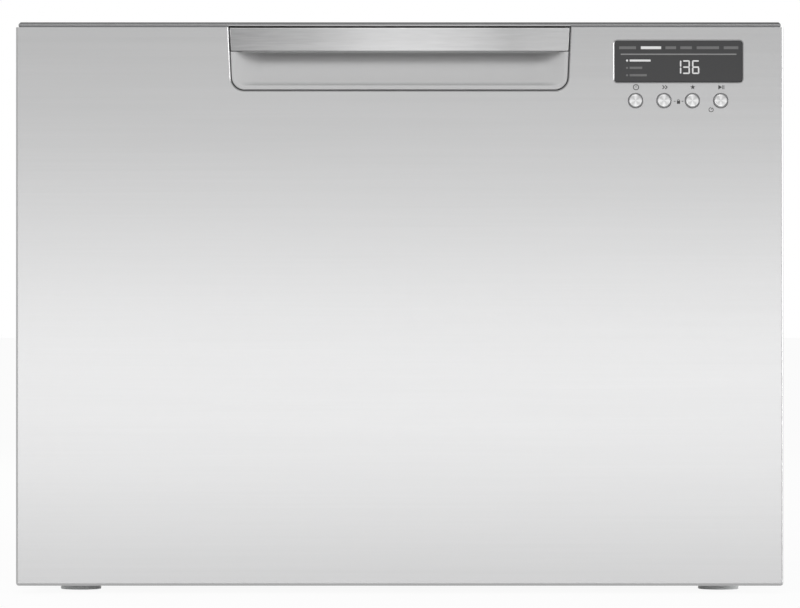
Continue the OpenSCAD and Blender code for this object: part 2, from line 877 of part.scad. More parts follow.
module tub() {
    color("gainsboro") difference() {
        union() {
            along_z(tub_under, rim_z) tub_outline(0);
            along_z(rim_z - rim_t, rim_z) tub_outline(rim_w);
            translate([0, tub_cy, sump_under])
                cylinder(h = tub_under - sump_under + past, r = sump_r + tub_wall);
            rod_y(0, tub_cy + sump_r, tub_cy + sump_r + tub_wall + outlet_l, outlet_z, outlet_r, 32);
            for (s = [-1, 1]) side(s) runner_ledge();
            for (x = boss_xs(), z = boss_zs()) rod_y(x, drawer_y, tub_y0 + past, z, 7, 32);
            hose_elbow(fill_moving_x, fill_r);
            hose_elbow(loom_moving_x, loom_r);
        }
        tub_inside();
        translate([0, tub_cy, filter_seat]) cylinder(h = tub_floor, r = sump_r);
        translate([0, tub_cy, tub_floor - sump_d]) cylinder(h = tub_floor, r = sump_r - ledge_step);
        translate([0, tub_cy, sump_under - past]) cylinder(h = tub_floor, r = shaft_r + pin_gap, $fn = 32);
        rod_y(0, tub_cy, tub_cy + sump_r + tub_wall + outlet_l + past, outlet_z, outlet_r - outlet_wall, 32);
        for (x = boss_xs(), z = boss_zs()) rod_y(x, drawer_y - past, tub_y0, z, screw_r + pin_gap, 24);
    }
}

// Upright under the tub's floor that a hose or the loom ends in.
module hose_elbow(x, r) {
    half = r + elbow_wall;
    box(x - half, x + half, hose_end, hose_end + elbow_l, port_z - half, tub_under + past);
}

function boss_xs() = [40 - tub_w / 2, tub_w / 2 - 40];
function boss_zs() = [for (k = [0.18, 0.82]) tub_under + k * (rim_z - tub_under)];

// The hollow of the tub, with the pads left standing that carry the rack.
module tub_inside() {
    difference() {
        along_z(tub_floor, rim_z + past) tub_outline(-tub_wall);
        for (s = [-1, 1], y = [-1, 1]) side(s)
            box(rack_x - pad_w, tub_w / 2, tub_cy + y * pad_y - pad_w, tub_cy + y * pad_y + pad_w,
                rack_z - pad_h, rack_z - loose);
    }
}

module tub_outline(grow) {
    round_rect(-tub_w / 2 - grow, tub_w / 2 + grow, tub_y0 - grow, tub_y1 + grow, tub_r + min(grow, 0));
}

// Moulded ledge that the inner runner member is screwed to, with its ribs left standing.
module runner_ledge() {
    low = runner_z - slide_h / 2 - 3;
    high = runner_z + slide_h / 2 + 3;
    y0 = runner_y0 + tub_r;
    y1 = min(runner_y0 + runner_l, tub_y1) - tub_r;
    step = (y1 - y0) / ledge_n;
    difference() {
        box(ledge_x0, slide_x, y0, y1, low, high);
        for (k = [0:ledge_n - 1])
            box(ledge_x0 + ledge_rib, slide_x - ledge_rib, y0 + k * step + ledge_rib,
                y0 + (k + 1) * step - ledge_rib, low - past, high - ledge_rib);
    }
}

module motor_housing() {
    low = sump_under - motor_h;
    color("slategray") translate([0, tub_cy, 0]) difference() {
        union() {
            translate([0, 0, low]) cylinder(h = motor_h, r = motor_r);
            translate([0, 0, sump_under - motor_flange_t])
                cylinder(h = motor_flange_t, r = motor_r + motor_flange);
            translate([-plug_w / 2, -motor_r - plug_out, low + 8]) cube([plug_w, plug_out + 6, plug_h]);
        }
        translate([0, 0, low + 6]) cylinder(h = motor_h, r = shaft_r + pin_gap, $fn = 32);
        for (a = [-60:30:240]) rotate(a)
            translate([motor_r - fin_d, -1.5, low - past]) cube([fin_d + past, 3, motor_h - 8]);
    }
}

module drain_pump() {
    y0 = pump_y - pump_r;
    color("darkslategray") difference() {
        union() {
            rod_y(0, y0, pump_y, outlet_z, outlet_r, 32);
            rod_z(0, pump_y, port_z - hose_r - 2 * elbow_wall, tub_under, pump_r - 4, 48);
            box(0, drain_moving_x + hose_r + elbow_wall, pump_y - pump_duct, pump_y + pump_duct,
                port_z - hose_r - elbow_wall, port_z + hose_r + elbow_wall);
        }
        rod_y(0, y0 - past, pump_y - 4, outlet_z, outlet_r - outlet_wall, 32);
    }
}

module heater_plate() {
    color("silver") translate([0, tub_cy, tub_floor - sump_d]) difference() {
        cylinder(h = 1.6, r = sump_r - ledge_step - 1);
        translate([0, 0, -past]) cylinder(h = 4, r = rotor_r + 5);
    }
}

module filter_plate() {
    color("silver") translate([0, tub_cy, filter_seat]) difference() {
        union() {
            cylinder(h = filter_t, r = sump_r - loose);
            cylinder(h = post_top - filter_seat, r = post_r);
        }
        translate([0, 0, -past]) cylinder(h = post_top, r = post_r - 3);
        translate([strainer_x, 0, -past]) cylinder(h = filter_t + 2 * past, r = strainer_r + loose);
        for (a = [40:20:320]) rotate(a) translate([post_r + 12, -2, -past])
            cube([sump_r - post_r - 26, 4, filter_t + 2 * past]);
    }
}

// Cup strainer with a grip bar, turned by a quarter to lock it in the filter plate.
module drain_filter() {
    z0 = tub_floor - sump_d + 3;
    z1 = filter_seat + filter_t;
    color("gray") translate([strainer_x, tub_cy, 0]) difference() {
        union() {
            translate([0, 0, z0]) cylinder(h = z1 + loose - z0 + past, r = strainer_r);
            translate([0, 0, z1 + loose]) cylinder(h = strainer_rim, r = strainer_r + 3);
            translate([1 - strainer_r, -1.5, z1 + loose]) cube([2 * strainer_r - 2, 3, strainer_rim + 3]);
        }
        translate([0, 0, z0 + 2]) cylinder(h = z1 - z0 - 3.5, r = strainer_r - 2);
    }
}

module wash_rotor() {
    low = sump_under - motor_h + 10;
    color("white") translate([0, tub_cy, 0]) {
        translate([0, 0, low]) cylinder(h = rotor_z - low + 1, r = shaft_r, $fn = 32);
        translate([0, 0, rotor_z]) {
            cylinder(h = 2, r = rotor_r);
            cylinder(h = rotor_h, r = rotor_hub);
            for (a = [0:60:300]) rotate(a)
                translate([rotor_hub - 2, -1, 0]) cube([rotor_r - rotor_hub, 2, rotor_h - 1]);
        }
    }
}

module spray_arm() {
    color("lightsteelblue") translate([0, tub_cy, 0]) difference() {
        union() {
            along_z(arm_low, arm_low + arm_h) for (a = [0, 180]) rotate(a) arm_outline();
            translate([0, 0, arm_z]) cylinder(h = post_top + loose + hub_top - arm_z, r = hub_r);
        }
        translate([0, 0, arm_z - past]) cylinder(h = post_top + loose - arm_z + past, r = post_r + pin_gap);
        for (a = [0, 180], i = [0:jet_n - 1]) rotate(a)
            translate([hub_r + 22 + i * (arm_r - hub_r - 36) / (jet_n - 1), 0, arm_low + arm_h - 3])
                cylinder(h = 4, r = jet_r, $fn = 24);
    }
}

module arm_outline() {
    reach = arm_r - arm_tip / 2;
    polygon([[0, -arm_root / 2], [hub_r, -arm_root / 2], [reach, -arm_tip / 2], [reach, arm_tip / 2],
        [hub_r, arm_root / 2], [0, arm_root / 2]]);
    translate([reach, 0]) circle(arm_tip / 2);
}

// ---------- Drawer front ----------

// A block with rounded front edges at the sides and the bottom, shrunk by the given amount.
module skin_block(in) {
    r = skin_r - in;
    x = front_w / 2 - in;
    z0 = front_lift + in;
    z1 = skin_top + (in > 0 ? past : 0);
    y0 = face_y + in;
    y1 = plate_y + (in > 0 ? past : 0);
    intersection() {
        along_z(z0, z1) edge_rounded(-x, x, y0, y1, r);
        along_y(y0, y1) edge_rounded(-x, x, z0, z1, r);
        along_x(-x, x) {
            translate([y0 + r, z0]) square([y1 - y0 - r, z1 - z0]);
            translate([y0, z0 + r]) square([y1 - y0, z1 - z0 - r]);
            translate([y0 + r, z0 + r]) circle(r);
        }
    }
}

// A rectangle whose two low corners are rounded.
module edge_rounded(x0, x1, y0, y1, r) {
    translate([x0 + r, y0]) square([x1 - x0 - 2 * r, y1 - y0]);
    translate([x0, y0 + r]) square([x1 - x0, y1 - y0 - r]);
    for (x = [x0 + r, x1 - r]) translate([x, y0 + r]) circle(r);
}

module front_skin() {
    color("silver") difference() {
        skin_block(0);
        skin_block(skin_t);
        along_y(face_y - past, face_y + skin_t + past) {
            scoop_outline(0, past);
            lens_outline(0.3);
            for (x = cap_xs) translate([x, cap_z]) circle(cap_d / 2 + cap_gap);
        }
    }
}

module lens_outline(grow) {
    round_rect(panel_x - lens_w / 2 - grow, panel_x + lens_w / 2 + grow,
        lens_z - lens_h / 2 - grow, lens_z + lens_h / 2 + grow, lens_r);
}

// The scoop opening drawn in (X, Z): straight tapering sides and two round lower corners.
module scoop_outline(inset, over = 0) {
    k = (scoop_top - scoop_bottom) / scoop_h;
    n = sqrt(1 + k * k);
    r = scoop_r - inset;
    z0 = skin_top - scoop_h + inset;
    low = scoop_bottom - inset;
    cx = low + k * r - r * n;
    tip = [cx + r / n, z0 + r - r * k / n];
    top = [low + k * (skin_top + over - z0), skin_top + over];
    polygon([[-top[0], top[1]], top, tip, [cx, z0], [-cx, z0], [-tip[0], tip[1]]]);
    for (s = [-1, 1]) translate([s * cx, z0 + r]) circle(r);
}

module back_plate() {
    color("gray") difference() {
        box(loose - front_w / 2, front_w / 2 - loose, plate_y, drawer_y, front_lift + loose,
            front_top - trim_h);
        for (x = boss_xs(), z = boss_zs())
            rod_y(x, plate_y - past, drawer_y + past, z, screw_r + 0.4, 24);
    }
}

module top_trim() {
    x = front_w / 2 - trim_inset;
    z0 = front_top - trim_h;
    r = trim_h / 2;
    color("darkgray") intersection() {
        along_x(-x, x) {
            translate([face_y + 0.5 + r, z0 + r]) circle(r);
            translate([face_y + 0.5 + r, z0]) square([drawer_y - face_y - 0.5 - r, trim_h]);
        }
        along_y(face_y, drawer_y) polygon([[-x, z0], [x, z0], [x, front_top - r], [x - r, front_top],
            [r - x, front_top], [-x, front_top - r]]);
    }
}

// Side profile of the finger space, drawn in (Y, Z): upright back and a round sweep forward.
module scoop_profile(grow, top) {
    r = scoop_d + grow;
    z = skin_top - scoop_h + scoop_rim + scoop_d;
    translate([face_y, z]) circle(r);
    translate([face_y, z]) square([r, top - z]);
}

module handle_scoop() {
    rim_y = face_y + 0.4;
    top = skin_top - grip_t - 1;
    color("lightgray") difference() {
        intersection() {
            union() {
                along_y(rim_y, rim_y + scoop_wall) scoop_outline(0.5);
                intersection() {
                    along_y(rim_y, face_y + scoop_d + scoop_wall) scoop_outline(scoop_rim - scoop_wall);
                    along_x(-scoop_top, scoop_top) scoop_profile(scoop_wall, top);
                }
            }
            box(-front_w, front_w, face_y, drawer_y, 0, top);
        }
        intersection() {
            along_y(face_y - past, drawer_y) scoop_outline(scoop_rim);
            along_x(-scoop_top, scoop_top) scoop_profile(0, top - scoop_wall);
        }
        box(-front_w, front_w, face_y - past, face_y + grip_t + 0.8, skin_top - grip_h - loose, skin_top);
    }
}

module handle_grip() {
    y0 = face_y + 0.4;
    low = skin_top - grip_h;
    color("silver") {
        intersection() {
            along_y(y0, y0 + grip_t) scoop_outline(0.5);
            box(-front_w, front_w, face_y, drawer_y, low, skin_top - 0.3);
        }
        box(2 - scoop_bottom, scoop_bottom - 2, y0, y0 + 14, skin_top - 0.3 - grip_t, skin_top - 0.3);
        box(4 - scoop_bottom, scoop_bottom - 4, y0 + grip_t / 2, y0 + grip_t + 2, low, low + grip_t);
    }
}

// ---------- Controls ----------

module control_housing() {
    x0 = panel_x0;
    x1 = panel_x1;
    z0 = cap_z - cap_d / 2 - 8;
    z1 = lens_z + lens_h / 2 + 5;
    y0 = face_y + skin_t;
    shelf = face_y + lens_sink + lens_t;
    color("dimgray") difference() {
        box(x0, x1, y0, face_y + panel_d, z0, z1);
        box(x0 + panel_wall, x1 - panel_wall, shelf + panel_wall, face_y + panel_d + past,
            z0 + panel_wall, z1 - panel_wall);
        along_y(y0 - past, shelf) lens_outline(0.3);
        along_y(y0, shelf + panel_wall + past) lens_outline(-3);
        for (x = cap_xs) rod_y(x, y0 - past, shelf + panel_wall + past, cap_z, cap_d / 2 + cap_gap + 1, 32);
    }
}

module display_lens() {
    color("darkslategray", 0.9) along_y(face_y + lens_sink, face_y + lens_sink + lens_t) lens_outline(0);
}

module display_board() {
    y0 = face_y + lens_sink + lens_t + panel_wall + loose;
    color("seagreen") {
        box(panel_x0 + panel_wall + loose, panel_x1 - panel_wall - loose, y0, y0 + board_t,
            cap_z + cap_d / 2 + 4, lens_z + lens_h / 2 + 2);
        box(panel_x - 6, panel_x + 24, y0 - 2, y0, lens_z - 10, lens_z + 6);
    }
}

module button_pad() {
    y0 = face_y + cap_back + cap_travel + loose;
    color("gainsboro") {
        box(panel_x0 + panel_wall + loose, panel_x1 - panel_wall - loose, y0 + 1.2, y0 + 2.4,
            cap_z - 8, cap_z + 8);
        for (x = cap_xs) rod_y(x, y0, y0 + 1.2, cap_z, cap_d / 2 - 1, 32);
    }
}

module button(i) {
    color("lightgray") {
        rod_y(cap_xs[i], front_y, face_y + cap_back, cap_z, cap_d / 2, 48);
        rod_y(cap_xs[i], face_y + skin_t + loose, face_y + skin_t + loose + cap_flange, cap_z,
            cap_d / 2 + cap_gap + 0.6, 48);
    }
}

// ---------- Dispenser ----------

module dispenser() {
    color("whitesmoke") difference() {
        union() {
            along_y(disp_y0, disp_y1)
                round_rect(-disp_w / 2, disp_w / 2, disp_z0, disp_z0 + disp_h, disp_r);
            for (x = ear_xs()) box(x - ear_t / 2, x + ear_t / 2, disp_y1 - past, det_y + ear_r,
                det_z - ear_r, det_z + ear_r);
        }
        box(cup_x - cup_w / 2 + cup_wall, cup_x + cup_w / 2 - cup_wall, disp_y1 - cup_deep,
            disp_y1 + past, det_z + ear_r + cup_wall, det_z + cup_h - cup_wall);
        for (x = ear_xs()) rod_x(x - ear_t, x + ear_t, det_y, det_z, det_pin + pin_gap, 24);
        rod_y(rinse_x, disp_y1 - plug_d - past, disp_y1 + past, det_z + cup_h / 2, plug_r + pin_gap, 32);
    }
}

function ear_xs() = [for (s = [-1, 1]) cup_x + s * (cup_w / 2 + past + ear_t / 2)];

module detergent_lid() {
    reach = cup_w / 2 + past + ear_t;
    front = det_y + det_t / 2;
    top = det_z + cup_h;
    color("lightgray") {
        box(cup_x - cup_w / 2, cup_x + cup_w / 2, det_y - det_t / 2, front, det_z, top);
        rod_x(cup_x - reach, cup_x + reach, det_y, det_z, det_pin, 24);
        box(cup_x - catch_w / 2, cup_x + catch_w / 2, front, front + det_t, top - 8, top - 4);
    }
}

module rinse_cap() {
    z = det_z + cup_h / 2;
    color("royalblue") {
        rod_y(rinse_x, disp_y1 - plug_d, disp_y1 + past, z, plug_r, 32);
        rod_y(rinse_x, disp_y1 + loose, disp_y1 + cap_t, z, rinse_r, 48);
        box(rinse_x - rinse_r + 2, rinse_x + rinse_r - 2, disp_y1 + cap_t, disp_y1 + cap_t + 3,
            z - 1.5, z + 1.5);
    }
}

// ---------- Racks ----------

// A flat grid of welded wires from (0, 0) to (w, h) with nx by ny meshes.
module grid(w, h, nx, ny) {
    for (i = [0:nx]) translate([i * (w - 2 * wire_r) / nx, 0]) square([2 * wire_r, h]);
    for (i = [0:ny]) translate([0, i * (h - 2 * wire_r) / ny]) square([w, 2 * wire_r]);
}

module base_rack() {
    side_l = rack_l - 4 * wire_r - 2 * loose;
    color("lightsteelblue") {
        translate([0, 0, rack_z]) linear_extrude(2 * wire_r)
            translate([-rack_x, rack_y0]) grid(2 * rack_x, rack_l, mesh_x, mesh_y);
        along_y(rack_y0, rack_y0 + 2 * wire_r)
            translate([-rack_x, floor_top]) grid(2 * rack_x, rack_front_h - 2 * wire_r, mesh_x, 2);
        along_y(rack_y1 - 2 * wire_r, rack_y1)
            translate([-rack_x, floor_top]) grid(2 * rack_x, rack_h - 2 * wire_r, mesh_x, 3);
        for (s = [-1, 1]) side(s) along_x(rack_x - 2 * wire_r, rack_x)
            translate([rack_cy - side_l / 2, floor_top]) grid(side_l, rack_h - 2 * wire_r, mesh_y, 3);
    }
}

module tine_row(x) {
    color("lightsteelblue") {
        rod_y(x, tine_y0 - 12, tine_y1 + 12, hinge_z, wire_r, 24);
        for (i = [0:tine_n - 1]) rod_z(x, tine_y0 + i * tine_step, hinge_z, hinge_z + tine_h, tine_r);
    }
}

// Plastic clips that hold the tine rows on the floor and the shelves on the side rails.
module rack_clips() {
    color("white") {
        for (x = tine_xs, i = [1, floor(tine_n / 2), tine_n - 2])
            clip(x, tine_y0 + (i + 0.5) * tine_step, hinge_z, x - 5, x + 5, floor_top);
        for (s = [-1, 1], k = [0, shelf_n(s) - 1]) side(s)
            clip(shelf_x, shelf_y0(s) + wire_r + (k + 0.5) * shelf_step(s), shelf_z, shelf_x - 4, rack_x,
                rack_z + rack_h);
    }
}

module clip(x, y, z, x0, x1, z0) {
    difference() {
        box(x0, x1, y - clip_w / 2, y + clip_w / 2, z0, z + wire_r + 2);
        rod_y(x, y - clip_w, y + clip_w, z, wire_r + pin_gap, 24);
    }
}

// The right shelf is short, because the cutlery basket stands in front of it.
function shelf_y0(s) = s > 0 ? basket_y0 + basket_l + 6 : rack_y0 + 10;
function shelf_n(s) = round((shelf_y1 - shelf_y0(s)) / 34);
function shelf_step(s) = (shelf_y1 - shelf_y0(s) - 2 * wire_r) / shelf_n(s);

// Wire shelf hinged over the rack's side rail.
module cup_rack(s) {
    y0 = shelf_y0(s);
    l = shelf_y1 - y0;
    t = 0.7 * wire_r;
    color("lightsteelblue") side(s) {
        rod_y(shelf_x, y0, shelf_y1, shelf_z, wire_r, 24);
        along_z(shelf_z - t, shelf_z + t) {
            for (x = [0, 0.5]) translate([shelf_x - shelf_w + x * shelf_w, y0]) square([2 * wire_r, l]);
            for (i = [0:shelf_n(s)])
                translate([shelf_x - shelf_w, y0 + i * shelf_step(s)]) square([shelf_w, 2 * wire_r]);
        }
    }
}

module cutlery_basket() {
    x0 = basket_x1 - basket_w;
    y1 = basket_y0 + basket_l;
    wx = (basket_w - 3 * basket_wall) / 2;
    wy = (basket_l - 4 * basket_wall) / 3;
    top = basket_z + basket_h;
    color("lightslategray") {
        difference() {
            along_z(basket_z, top) round_rect(x0, basket_x1, basket_y0, y1, 6);
            for (i = [0, 1], j = [0:2]) {
                x = x0 + basket_wall + i * (wx + basket_wall);
                y = basket_y0 + basket_wall + j * (wy + basket_wall);
                along_z(basket_z + basket_wall, top + past) round_rect(x, x + wx, y, y + wy, 4);
            }
        }
        basket_handle(x0 + basket_wall + wx, top);
    }
}

// Loop handle that stands on the basket's middle wall.
module basket_handle(x, z) {
    y0 = basket_y0 + basket_l / 4;
    y1 = basket_y0 + 3 * basket_l / 4;
    along_x(x, x + basket_wall) difference() {
        round_rect(y0, y1, z - handle_h, z + handle_h, handle_h / 2);
        round_rect(y0 + handle_w, y1 - handle_w, z, z + handle_h - handle_w, handle_w / 2);
    }
}

// ---------- Hoses ----------

// A hose or loom that runs forward on the tray at x0, turns back and ends at x1.
module flex_loop(x0, x1, r, y0, y1) {
    bend = (x0 - x1) / 2;
    rod_y(x0, hose_front, y0, port_z, r, 32);
    translate([x1 + bend, hose_front, port_z]) rotate([0, 0, 180])
        rotate_extrude(angle = 180, $fn = 64) translate([abs(bend), 0]) circle(r, $fn = 32);
    rod_y(x1, hose_front, y1, port_z, r, 32);
}

module drain_hose() {
    color("dimgray")
        flex_loop(drain_x, drain_moving_x, hose_r, bay_y - hose_stub, pump_y - pump_duct);
}

module fill_hose() {
    color("gray") flex_loop(inlet_x, fill_moving_x, fill_r, valve_y0, hose_end);
}

module wiring_loom() {
    color("black")
        flex_loop(module_x1 - vent_in, loom_moving_x, loom_r, module_y0, hose_end);
}

// ---------- Fasteners ----------

module cabinet_screws() {
    color("gray") {
        for (x = rear_screw_xs(), z = rear_screw_zs()) {
            rod_y(x, cabinet_y1, cabinet_y1 + screw_head, z, head_r, 24);
            rod_y(x, cabinet_y1 - sheet_t - screw_out, cabinet_y1, z, screw_r, 24);
        }
        for (s = [-1, 1], y = rail_screw_ys()) side(s) {
            rod_x(rail_x - runner_t - screw_head, rail_x - runner_t, y, runner_z, head_r, 24);
            rod_x(rail_x - runner_t, rail_x, y, runner_z, screw_r, 24);
        }
    }
}

function rear_screw_xs() = [for (k = [-1, 0, 1]) k * (inner_x - rear_screw_in)];
function rear_screw_zs() = [tray_z + tray_lip / 2 + head_r, inner_top - tray_lip];

module front_screws() {
    color("gray") for (x = boss_xs(), z = boss_zs()) {
        rod_y(x, plate_y - screw_head, plate_y, z, head_r, 24);
        rod_y(x, plate_y, drawer_y + screw_out, z, screw_r, 24);
    }
}

cabinet_shell();
base_tray();
rear_cover();
cabinet_seal();
runner_rail(-1);  // runner_rail_left
runner_rail(1);  // runner_rail_right
service_bay();
inlet_valve();
bay_fittings();
power_module();
lid_drives();
cabinet_screws();
foot(-1, foot_ys()[0]);  // foot_front_left
foot(1, foot_ys()[0]);  // foot_front_right
foot(-1, foot_ys()[1]);  // foot_rear_left
foot(1, foot_ys()[1]);  // foot_rear_right
lid();
lid_seal();
lid_racks();
lid_pinion(-1);  // lid_pinion_left
lid_pinion(1);  // lid_pinion_right
tub();
motor_housing();
drain_pump();
heater_plate();
filter_plate();
drain_filter();
wash_rotor();
spray_arm();
back_plate();
front_skin();
top_trim();
handle_scoop();
handle_grip();
control_housing();
display_lens();
display_board();
button_pad();
button(0);  // delay_button
button(1);  // option_button
button(2);  // favourite_button
button(3);  // start_button
runner_slide(-1);  // runner_slide_left
runner_slide(1);  // runner_slide_right
runner_middle(-1);  // runner_middle_left
runner_middle(1);  // runner_middle_right
dispenser();
detergent_lid();
rinse_cap();
base_rack();
rack_clips();
tine_row(tine_xs[0]);  // tine_row_left
tine_row(tine_xs[1]);  // tine_row_right
cup_rack(-1);  // cup_rack_left
cup_rack(1);  // cup_rack_right
cutlery_basket();
drain_hose();
fill_hose();
wiring_loom();
front_screws();
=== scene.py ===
"""Looks of the dishwasher drawer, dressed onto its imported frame.

Lengths are in metres, +Z is up and the front faces -Y.
"""

import logging
import math
from collections.abc import Iterable, Sequence
from dataclasses import dataclass, replace
from enum import Enum

import bmesh
import bpy
from mathutils import Matrix, Vector

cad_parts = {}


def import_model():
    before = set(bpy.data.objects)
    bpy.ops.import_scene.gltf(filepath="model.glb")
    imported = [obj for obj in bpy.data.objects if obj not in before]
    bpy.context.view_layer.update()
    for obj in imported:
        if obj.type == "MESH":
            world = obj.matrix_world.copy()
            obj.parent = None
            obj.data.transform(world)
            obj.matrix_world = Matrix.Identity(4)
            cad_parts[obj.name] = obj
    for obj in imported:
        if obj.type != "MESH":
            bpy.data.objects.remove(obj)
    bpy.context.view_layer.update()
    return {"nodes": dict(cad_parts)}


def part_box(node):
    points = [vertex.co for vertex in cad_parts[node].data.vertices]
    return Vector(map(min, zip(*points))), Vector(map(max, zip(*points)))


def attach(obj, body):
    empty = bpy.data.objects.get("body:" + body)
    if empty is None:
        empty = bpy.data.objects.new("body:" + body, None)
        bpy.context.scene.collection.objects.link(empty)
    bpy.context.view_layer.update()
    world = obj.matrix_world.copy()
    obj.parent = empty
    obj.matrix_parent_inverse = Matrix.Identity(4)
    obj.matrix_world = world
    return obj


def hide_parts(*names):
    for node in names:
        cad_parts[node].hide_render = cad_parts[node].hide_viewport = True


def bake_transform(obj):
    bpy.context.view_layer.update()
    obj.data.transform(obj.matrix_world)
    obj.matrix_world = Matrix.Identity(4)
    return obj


LOG = logging.getLogger("drawer")
MM = 0.001
Point = tuple[float, float, float]
Flat = tuple[float, float]

# Shared by the front, the controls and the finish of the caps.
FACE = -0.2857
CAP_XS = (0.184175, 0.206325, 0.228475, 0.250625)
CAP_Z = 0.3847


# ---------- Node networks ----------


class Term:
    """A node's output that takes part in Python arithmetic."""

    def __init__(self, network: "Network", socket: bpy.types.NodeSocket) -> None:
        """Keeps the output and the network it belongs to.

        Args:
            network: the network that new Math nodes go into.
            socket: the output socket.
        """
        self.network = network
        self.socket = socket

    def _math(self, operation: str, *values: object) -> "Term":
        """Adds one Math node.

        Args:
            operation: the Math node's operation.
            values: its inputs, terms or numbers, in order.

        Returns:
            The node's result.
        """
        sockets = dict(enumerate(values))
        return self.network.node("ShaderNodeMath", {"operation": operation}, sockets)

    def __add__(self, other: object) -> "Term":
        """Sum."""
        return self._math("ADD", self, other)

    __radd__ = __add__

    def __mul__(self, other: object) -> "Term":
        """Product."""
        return self._math("MULTIPLY", self, other)

    def __sub__(self, other: object) -> "Term":
        """Difference."""
        return self._math("SUBTRACT", self, other)

    def __truediv__(self, other: object) -> "Term":
        """Quotient."""
        return self._math("DIVIDE", self, other)

    def apply(self, operation: str, *others: object) -> "Term":
        """Any other Math operation, such as SINE or MAXIMUM.

        Args:
            operation: the Math node's operation.
            others: further inputs after this term.

        Returns:
            The node's result.
        """
        return self._math(operation, self, *others)


class Network:
    """A shader or geometry node tree that is filled by one generic method."""

    def __init__(self, tree: bpy.types.NodeTree) -> None:
        """Empties the tree.

        Args:
            tree: the tree to fill.
        """
        self.tree = tree
        tree.nodes.clear()

    def node(
        self,
        kind: str,
        settings: dict[str, object] | None = None,
        sockets: dict[int | str, object] | None = None,
        out: int | str = 0,
    ) -> Term:
        """Adds a node, sets it up and fills its sockets.

        Args:
            kind: the node's type.
            settings: its settings, which are set first. "stops" fills a colour ramp.
            sockets: values or terms by socket name or number.
            out: which output is returned.

        Returns:
            The chosen output.
        """
        made = self.tree.nodes.new(kind)
        for key, value in (settings or {}).items():
            if key == "stops":
                self._stops(made.color_ramp, value)
            else:
                setattr(made, key, value)
        for key, value in (sockets or {}).items():
            if isinstance(value, Term):
                self.tree.links.new(value.socket, made.inputs[key])
            else:
                made.inputs[key].default_value = value
        return Term(self, made.outputs[out] if made.outputs else made.inputs[0])

    @staticmethod
    def _stops(ramp: bpy.types.ColorRamp, stops: Sequence[Flat]) -> None:
        """Fills a colour ramp with grey stops.

        Args:
            ramp: the ramp.
            stops: position and grey value of each stop, in rising order.
        """
        ends = (ramp.elements[0], ramp.elements[-1])
        for element, (place, grey) in zip(ends, (stops[0], stops[-1])):
            element.position = place
            element.color = (grey, grey, grey, 1.0)
        for place, grey in stops[1:-1]:
            ramp.elements.new(place).color = (grey, grey, grey, 1.0)

    def vector(self, operation: str, *values: object) -> Term:
        """One Vector Math node.

        Args:
            operation: the node's operation.
            values: its inputs in order.

        Returns:
            The node's result.
        """
        return self.node("ShaderNodeVectorMath", {"operation": operation}, dict(enumerate(values)))

    def axis(self, place: Term, name: str) -> Term:
        """One coordinate of a place, by the name of its axis."""
        return self.node("ShaderNodeSeparateXYZ", {}, {0: place}, name)

    def ramp(self, share: Term, stops: Sequence[Flat]) -> Term:
        """Grey value along a ramp.

        Args:
            share: the place on the ramp, from 0 to 1.
            stops: position and grey value of each stop, in rising order.

        Returns:
            The value.
        """
        tone = self.node("ShaderNodeValToRGB", {"stops": stops}, {0: share})
        return self.node("ShaderNodeSeparateColor", {}, {0: tone})

    def colour(self, share: object, first: object, second: object) -> Term:
        """Mixes two colours.

        Args:
            share: how much of the second colour shows.
            first: the first colour.
            second: the second colour.

        Returns:
            The mixed colour.
        """
        return self.node("ShaderNodeMix", {"data_type": "RGBA"}, {0: share, 6: first, 7: second}, 2)

    def noise(self, place: Term, scale: Point, detail: float = 2.0) -> Term:
        """Noise that is stretched by a scale for each axis, so that it forms streaks.

        Args:
            place: the coordinates.
            scale: how often the noise changes in a metre along X, Y and Z.
            detail: finer layers of the noise.

        Returns:
            The noise, from 0 to 1 with its middle at 0.5.
        """
        spread = self.vector("MULTIPLY", place, scale)
        sockets = {"Vector": spread, "Scale": 1.0, "Detail": detail}
        return self.node("ShaderNodeTexNoise", {}, sockets)


# ---------- Finishes ----------


class Grain(Enum):
    """What the surface of a finish is like close up."""

    BRUSHED = "long lines along X"
    # painted sheen: a highlight painted into the colour, brightest near the strip's middle
    CROWNED = "long lines on a strip whose sheen is brightest near its middle"
    # painted highlight and shade in bands up the trim's nose; the darker bead along its top is
    # painted shade
    BEADED = "long lines on a trim with a darker bead along its top"
    # the rings are relief; the cap's four-armed glint is painted into the colour
    SPUN = "rings round the middle of each button"
    SPANGLE = "zinc flakes"
    MOULDED = "fine spark-eroded grain"
    SATIN = "smooth with faint mottling"
    BOARD = "copper tracks under lacquer"


COAT_ROUGHNESS = 0.12

# The grip's painted sheen, a highlight painted into its colour by the place along it, and the
# trim's painted highlight and shade bands by the place up it.
PAINTED_GRIP_HIGHLIGHT = (
    (0.0, 0.0), (0.24, 0.42), (0.42, 0.93), (0.5, 1.0),
    (0.6, 0.97), (0.71, 0.8), (0.83, 0.46), (0.95, 0.56),
)
PAINTED_TRIM_STOPS = (
    (0.0, 1.0), (0.3, 1.0), (0.36, 0.31), (0.5, 0.31), (0.56, 0.0),
    (0.74, 0.0), (0.8, 0.08), (0.92, 0.08), (1.0, 0.5),
)


